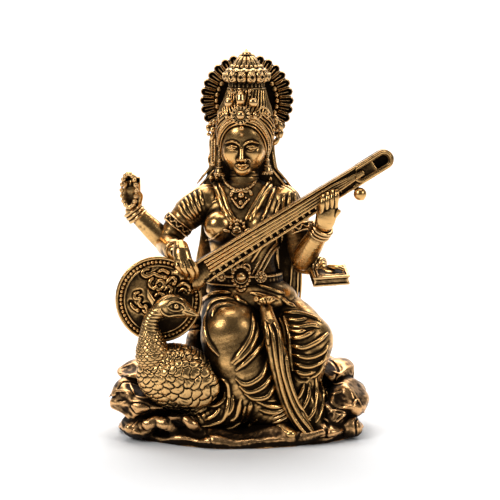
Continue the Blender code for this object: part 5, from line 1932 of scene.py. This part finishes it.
def anklet_field(P):
    """Three hoops round the ankle."""
    centre = np.array([5.6, -10.8, 5.7])
    axes = axes_towards((-0.45, 0, 0.9))
    d = lathe(P, [(2.4, -1.0), (2.5, 0.9)], centre, axes)
    for level in (-0.8, 0.0, 0.8):
        d = join(d, ring(P, centre + axes[:, 2] * level, axes, 2.5, 0.32), 0.06)
    return d


def left_drape_field(P):
    d = left_drape_form(P)
    angle = np.arctan2(P[:, 0] - 10.2, -(P[:, 1] + 8.0))
    return d - 0.2 * np.sin(angle * 9 + 0.3 * P[:, 2])


def pleats_field():
    """A fan of pleats hanging from the knot to the base between the knees."""
    points = [
        (3.0, -8.6, 26.2), (4.4, -12.2, 21.4), (6.0, -13.0, 14.0), (8.0, -13.4, 7.6), (11.2, -14.2, 2.6)
    ]

    def core(P):
        return limb(
            P, [np.array(p) + (0, 0.7, 0) for p in points], [1.3, 1.8, 1.8, 1.7, 1.4], 0.55, (0, 1, 0)
        )

    def apron(P):
        return join(core(P), skirt_form(P), 0.3)

    ridges = drawn_lines(
        apron,
        [
            (
                [
                    (3.8, 24.0),
                    (4.5, 21.8),
                    (5.0, 17.7),
                    (5.6, 14.5),
                    (6.6, 10.2),
                    (8.1, 6.3),
                    (9.8, 3.5),
                    (11.5, 1.6),
                ],
                0.42,
                0.1,
                0.6,
                6,
            ),
            (
                [
                    (4.8, 24.5),
                    (5.6, 22.6),
                    (6.0, 19.1),
                    (6.3, 15.7),
                    (7.1, 12.4),
                    (8.3, 8.8),
                    (10.0, 5.5),
                    (12.4, 2.4),
                ],
                0.42,
                0.1,
                0.6,
                6,
            ),
            (
                [
                    (5.8, 25.3),
                    (6.6, 23.4),
                    (7.0, 20.4),
                    (7.2, 16.9),
                    (7.8, 13.2),
                    (8.8, 10.0),
                    (10.2, 7.1),
                    (12.0, 4.7),
                ],
                0.42,
                0.1,
                0.6,
                6,
            ),
            ([(2.8, 24.6), (3.3, 22.6), (3.5, 20.2)], 0.4, 0.1, 0.6),
            ([(6.7, 25.7), (7.4, 23.6), (7.8, 20.8), (8.0, 17.7), (8.4, 14.9)], 0.42, 0.1, 0.6, 6),
        ],
    )

    def field(P):
        return add(P, core(P), ridges, 0.12)

    return field


def pleat_knot_field(P):
    """The gathered knot: a bound bundle with a small ball beside it."""
    d = ball(P, (3.0, -8.4, 28.4), (1.9, 1.3, 0.95), turn(0, -4, 0))
    for x in (-0.7, 0.0, 0.7):
        d = carve(d, ring(P, (3.0 + x, -8.4, 28.4), axes_towards((1, 0, 0.1)), 1.2, 0.12), 0.1)
    return join(d, ball(P, (1.0, -9.0, 28.6), (0.62, 0.6, 0.62)), 0.1)


# ---- bird ----


def bird_body_field(P):
    d = bird_body_form(P)
    near = np.flatnonzero(np.abs(d) < 1.2)
    d[near] -= plumage(P[near], 1.45, 0.38, 8.0)
    return d


def bird_neck_field(P):
    d = bird_neck_form(P)
    near = np.flatnonzero(np.abs(d) < 1.0)
    N = P[near]
    around = np.arctan2(N[:, 0] + 20.4, -(N[:, 1] + 11.0)) * 2.3
    start = at(-20.6, 22.8, -11.0)[2]
    below = smooth_step(start + 0.7, start - 0.9, N[:, 2] + 0.4 * np.sin(around * 1.4))
    down = feathers(-N[:, 2] + 0.2 * np.sin(around), around, 0.95, 0.34)
    d[near] -= down * below + (1 - below) * 0.03 * np.sin(N[:, 2] * 9 + around * 2)
    return d


def bird_wing_field(P):
    """The folded wing, with larger feathers than the body's."""
    centre = np.array(BIRD_BODY) + (2.2, -4.0, -0.4)
    d = ball(P, centre, (5.9, 1.7, 4.5), turn(0, 18, 0))
    near = np.flatnonzero(np.abs(d) < 1.2)
    d[near] -= plumage(P[near], 2.1, 0.5, 9.5)
    return d


def bird_head_field():
    """A rounded head with an almond eye, a cheek line, a tapering beak and a bar of a crest."""
    depth = -11.0
    middle = np.array(at(-15.8, 27.9, depth))

    def form(P):
        d = ball(P, middle, (3.1, 2.0, 2.35), turn(0, 14, 0))
        beak = [at(*place, depth) for place in [(-14.3, 27.4), (-12.8, 26.8), (-11.7, 26.3), (-10.7, 26.0)]]
        d = join(d, limb(P, beak, [1.75, 1.15, 0.62, 0.18]), 0.5)
        return join(d, ball(P, at(-17.9, 27.5, depth), (1.9, 1.7, 1.8)), 0.6)

    lines = drawn_lines(
        form,
        [
            ([(-17.0, 28.0), (-16.2, 28.6), (-15.1, 28.7), (-14.1, 28.4), (-13.4, 27.6)], 0.24, 0.0),
            ([(-16.8, 27.5), (-16.0, 27.0), (-14.9, 26.9), (-14.0, 27.2)], 0.2, 0.0),
            ([(-17.8, 29.2), (-16.6, 29.6), (-15.1, 29.7), (-13.8, 29.2)], 0.18, -0.02),
            ([(-18.4, 27.2), (-17.8, 26.3), (-16.6, 25.9), (-15.1, 26.1), (-13.6, 26.1)], 0.24, 0.0),
        ],
    )
    mouth = drawn_line(form, [(-13.5, 26.8), (-12.4, 26.4), (-11.1, 26.0)], 0.13, 0.0)
    eye = spot(form, (-15.2, 27.8), 0.08)
    nostril = spot(form, (-12.5, 27.2), 0.0)
    crest = [at(*place, -10.6) for place in [(-21.6, 31.6), (-20.7, 30.0), (-19.5, 28.2)]]

    def field(P):
        d = form(P)
        d = add(P, d, lines, 0.12)
        d = add(P, d, [mouth], 0.08, dig=True)
        d = carve(d, ring(P, eye, axes_towards(VIEW_BACK), 0.68, 0.12), 0.08)
        d = join(d, ball(P, eye, (0.5, 0.4, 0.5)), 0.05)
        d = carve(d, ball(P, nostril, (0.2, 0.2, 0.12)), 0.06)
        bar = limb(P, crest, [0.5, 0.5, 0.55], 0.8, (0, 1, 0))
        return join(d, carve(bar, chain(P, np.array(crest) + (0, -0.6, 0), [0.12] * 3), 0.08), 0.15)

    return field


BOWL_SCROLLS = [
    [
        (-20.8, 35.4),
        (-21.8, 35.2),
        (-22.1, 34.5),
        (-21.4, 33.9),
        (-20.4, 34.2),
        (-19.7, 34.5),
        (-18.7, 34.0),
        (-17.5, 33.7),
    ],
    [(-19.9, 33.6), (-20.6, 32.9), (-20.5, 32.0), (-19.7, 31.5)],
    [(-19.3, 32.5), (-18.6, 33.1), (-17.8, 32.7), (-17.8, 31.8), (-18.8, 31.2), (-19.3, 31.8)],
    [(-17.3, 32.5), (-16.6, 33.4), (-15.8, 33.7), (-15.3, 33.1), (-15.7, 32.4)],
    [(-17.6, 31.1), (-16.9, 31.8), (-16.2, 31.5), (-16.4, 30.7)],
    [(-15.0, 31.9), (-13.9, 32.5), (-12.8, 32.1), (-12.5, 31.2)],
    [(-14.7, 30.9), (-13.6, 31.4), (-12.8, 30.7)],
    [(-22.8, 30.7), (-23.6, 30.4), (-23.6, 29.5), (-22.6, 29.4), (-22.9, 28.6), (-22.3, 27.8), (-21.4, 27.9)],
    [(-22.0, 27.0), (-21.2, 26.7), (-21.2, 27.6)],
    [(-19.5, 30.0), (-18.7, 30.4), (-17.9, 30.2)],
    [(-24.5, 28.5), (-23.9, 27.6), (-23.0, 27.0)],
    [(-18.9, 34.9), (-17.9, 35.2), (-16.9, 34.7)],
    [(-20.9, 26.3), (-20.4, 25.0), (-20.8, 23.8)],
]


def lute_bowl_base(P):
    axes = axes_towards((0.03, -1, 0.06))
    R = LUTE_BOWL_RADIUS
    profile = [
        (2.0, -3.0),
        (5.6, -2.3),
        (7.9, -0.6),
        (R, 0.5),
        (R, 0.9),
        (R - 0.5, 1.1),
        (R - 1.8, 0.85),
        (R - 2.0, 1.0),
        (4.0, 1.7),
        (1.0, 1.95),
    ]
    d = lathe(P, profile, LUTE_BOWL, axes)
    tail = limb(
        P,
        [np.array(LUTE_BOWL) + (4.6, 0.4, 3.2), np.array(LUTE_TAIL) + (0, 0.2, -0.3)],
        [3.6, 1.9],
        0.5,
        (0, 1, 0),
    )
    return join(d, tail, 0.5)


# ---- rocks ----


def plinth_field(P):
    """A low base with a smooth, slightly folded lip all round."""
    q = (P - vec((-1.8, -0.8, 0))) / vec((24.6, 16.2, 1))
    r = np.hypot(q[:, 0], q[:, 1])
    angle = np.arctan2(q[:, 1], q[:, 0])
    wobble = 0.02 * np.sin(angle * 5 + 1) + 0.012 * np.sin(angle * 11) + 0.006 * np.sin(angle * 19 + 2)
    brim = 1.35 + 0.35 * np.sin(angle * 9 + 0.5) + 0.2 * np.sin(angle * 17)
    lip = 0.4 * np.exp(-(((P[:, 2] - brim) / 0.7) ** 2))
    side = (r - 1.0 + 0.02 + wobble) * 16.0 - lip
    top = P[:, 2] - (brim + 0.9 + 0.8 * smooth_step(0.96, 0.82, r) + 0.3 * waves(P, 7.0, 3))
    d = keep(side, top, 0.8)
    for places, radius, depth in PLINTH_LEDGES:
        d = join(d, ledge(P, places, radius, depth, 0.8), 0.9)
    d = crumpled(P, d, 60, 0.1)
    return keep(d, -P[:, 2] + 0.02, 0.02)


PLINTH_LEDGES = [
    ([(-24.6, 2.9), (-23.2, 3.5), (-21.8, 3.1), (-20.4, 2.2)], 1.0, -11.6),
    ([(-21.2, 3.7), (-19.1, 4.3), (-16.9, 3.7), (-15.3, 2.6)], 1.0, -13.2),
    ([(-16.1, 5.7), (-14.0, 5.1), (-12.4, 3.9), (-10.8, 2.6)], 0.9, -14.0),
    ([(6.7, 1.2), (9.2, 1.6), (11.6, 1.4), (14.5, 2.2)], 0.8, -14.0),
]


def seat_rock_field(P):
    d = stone(P, (0.4, 5.6, 11.0), (14.4, 9.0, 11.0), 5)
    d = join(d, stone(P, (-12.6, 5.0, 9.0), (8.0, 8.2, 8.4), 9), 0.6)
    d = join(d, stone(P, (12.0, 5.4, 8.0), (8.0, 8.4, 7.8), 4), 0.6)
    d = join(d, ball(P, at(-11.0, 20.0, 1.0), (2.0, 4.0, 6.0)), 1.0)
    return keep(crumpled(P, d, 70, 0.4), 0.6 - P[:, 2], 0.1)
# ---- castings, stage, camera and light ----


def casting_rows():
    """The castings in the order they are made: name, look, field, mesh step and box margin (mm)."""
    folds = skirt_folds()
    return [
        ("nose_ring", "ornament", nose_ring_field, 0.07),
        ("lute_strings", "lute", lute_strings_field, 0.1, 2.0),
        ("lute_neck", "lute", lute_neck_field, 0.12),
        ("lute_head", "lute", lute_head_field, 0.1, 3.0),
        ("lute_tuning_ball", "lute", tuning_ball_field, 0.1, 2.0),
        ("lute_bowl", "lute", lute_bowl_field(), 0.1),
        ("prayer_beads", "ornament", prayer_beads_field, 0.09),
        ("book", "ornament", book_field, 0.1, 2.0),
        ("fretting_hand", "skin", fretting_hand_field, 0.1),
        ("plucking_hand", "skin", plucking_hand_field(), 0.09, 3.0),
        ("book_hand", "skin", book_hand_field, 0.1),
        ("raised_hand", "skin", raised_hand_field, 0.1),
        ("diadem", "ornament", diadem_field(), 0.08, 4.5),
        ("right_earring", "ornament", earring_field(-1), 0.08, 11.0),
        ("left_earring", "ornament", earring_field(1), 0.08, 11.0),
        ("brooch", "ornament", brooch_field(), 0.08, 2.0),
        ("necklace", "ornament", necklace_field(), 0.08, 2.5),
        ("belt_buckle", "ornament", buckle_field(), 0.08, 4.0),
        ("right_shoulder_strap", "figure", strap_field(-1), 0.09, 3.0),
        ("left_shoulder_strap", "figure", strap_field(1), 0.09, 3.0),
        ("sash", "ornament", sash_field(), 0.08, 3.0),
        ("plucking_forearm", "skin", forearm_field(*FOREARMS["plucking"]), 0.13),
        ("raised_forearm", "skin", forearm_field(*FOREARMS["raised"]), 0.13),
        ("fretting_forearm", "skin", forearm_field(*FOREARMS["fretting"]), 0.13),
        ("book_forearm", "skin", forearm_field(*FOREARMS["book"]), 0.13),
        ("right_upper_arm", "figure", sleeve_arm_field(-1), 0.13),
        ("left_upper_arm", "figure", sleeve_arm_field(1), 0.13),
        ("raised_wrist_bangles", "ornament", bangles_field(*BANGLES["raised"]), 0.09),
        ("fretting_wrist_bangles", "ornament", bangles_field(*BANGLES["fretting"]), 0.09),
        ("book_wrist_bangles", "ornament", bangles_field(*BANGLES["book"]), 0.09),
        ("plucking_wrist_bangle", "ornament", bangles_field(*BANGLES["plucking"]), 0.09),
        ("right_armlet", "ornament", armlet_field(-1), 0.1),
        ("left_armlet", "ornament", armlet_field(1), 0.1),
        ("pleat_knot", "figure", pleat_knot_field, 0.1),
        ("pleats", "figure", pleats_field(), 0.1, 2.0),
        ("bird_head", "bird", bird_head_field(), 0.09, 2.5),
        ("bird_wing", "bird", bird_wing_field, 0.1),
        ("bird_neck", "bird", bird_neck_field, 0.1, 2.0),
        ("bird_body", "bird", bird_body_field, 0.12),
        ("right_foot", "skin", right_foot_field, 0.1),
        ("head", "skin", head_field, 0.08),
        ("crown", "ornament", crown_field, 0.08),
        ("hair", "figure", hair_field, 0.1),
        ("halo", "halo", halo_field, 0.1),
        ("torso", "figure", torso_field(), 0.12),
        ("waist_belt", "halo", belt_field, 0.11),
        ("right_leg", "figure", folded(right_leg_form, folds), 0.13, 1.5),
        ("anklet", "ornament", anklet_field, 0.1),
        ("left_leg", "figure", folded(left_leg_form, folds), 0.13, 1.5),
        ("lap", "figure", folded(lap_form, folds), 0.15, 1.5),
        ("shawl", "figure", shawl_field(), 0.16, 9.0),
        ("left_drape", "figure", folded(left_drape_field, folds), 0.12, 1.5),
        ("hem", "figure", folded(hem_form, folds), 0.12, 1.5),
        ("left_rocks", "rock", rocks_field(left_rock_base, 80), 0.15, 2.0),
        ("right_rocks", "rock", rocks_field(right_rock_base, 90), 0.15, 2.0),
        ("plinth", "rock", plinth_field, 0.18),
        ("seat_rock", "rock", seat_rock_field, 0.2),
    ]


def build_castings():
    looks = {name: antique_brass(f"antique brass, {name}", *rest) for name, (_, *rest) in BRASSES.items()}
    for name, look, field, step, *margin in casting_rows():
        casting(name, STANDS_FOR.get(name, [name]), BRASSES[look][0], looks[look], field, step, *margin)


def in_row_frame(point):
    return Vector((np.array(point) + SHIFT) * MM)


def build_stage():
    """A pale sweep: floor, curve and wall in one sheet."""
    profile = [(-FLOOR_REACH, 0.0), (WALL_START, 0.0)]
    for i in range(1, 13):
        a = math.radians(90 * i / 12)
        profile.append((WALL_START + WALL_CURVE * math.sin(a), WALL_CURVE * (1 - math.cos(a))))
    profile.append((WALL_START + WALL_CURVE, WALL_TOP))
    vertices, faces = [], []
    for y, z in profile:
        vertices += [in_row_frame((side * FLOOR_REACH, y, z)) for side in (-1, 1)]
    for i in range(len(profile) - 1):
        faces.append((2 * i, 2 * i + 1, 2 * i + 3, 2 * i + 2))
    mesh = bpy.data.meshes.new("sweep")
    mesh.from_pydata(vertices, [], faces)
    mesh.shade_smooth()
    material = bpy.data.materials.new("pale floor")
    material.use_nodes = True
    shader = material.node_tree.nodes["Principled BSDF"]
    shader.inputs["Base Color"].default_value = (*FLOOR_COLOUR, 1)
    shader.inputs["Roughness"].default_value = 0.7
    mesh.materials.append(material)
    sweep = bpy.data.objects.new("sweep", mesh)
    bpy.context.scene.collection.objects.link(sweep)


def build_light(name, place, target, size, power):
    """A rectangular lamp at a place, turned to a target, in design millimetres and watts."""
    data = bpy.data.lights.new(name, "AREA")
    data.shape = "RECTANGLE"
    data.size, data.size_y = (s * MM for s in size)
    data.energy = power
    lamp = bpy.data.objects.new(name, data)
    bpy.context.scene.collection.objects.link(lamp)
    lamp.location = in_row_frame(place)
    direction = in_row_frame(target) - lamp.location
    lamp.rotation_euler = direction.to_track_quat("-Z", "Y").to_euler()


def build_view():
    data = bpy.data.cameras.new("camera")
    data.lens = VIEW_LENS
    data.sensor_width = VIEW_SENSOR
    data.clip_start = 0.01
    camera = bpy.data.objects.new("camera", data)
    bpy.context.scene.collection.objects.link(camera)
    camera.location = in_row_frame(VIEW_EYE)
    camera.rotation_euler = Vector(VIEW_BACK).to_track_quat("Z", "Y").to_euler()
    bpy.context.scene.camera = camera


def build_world(strength):
    world = bpy.data.worlds.new("studio")
    world.use_nodes = True
    background = world.node_tree.nodes["Background"]
    background.inputs["Color"].default_value = (1, 1, 1, 1)
    background.inputs["Strength"].default_value = strength
    bpy.context.scene.world = world


build_castings()
build_stage()
build_view()
build_world(WORLD_STRENGTH)
for row in LIGHTS:
    build_light(*row)
bpy.context.scene.view_settings.view_transform = "Standard"
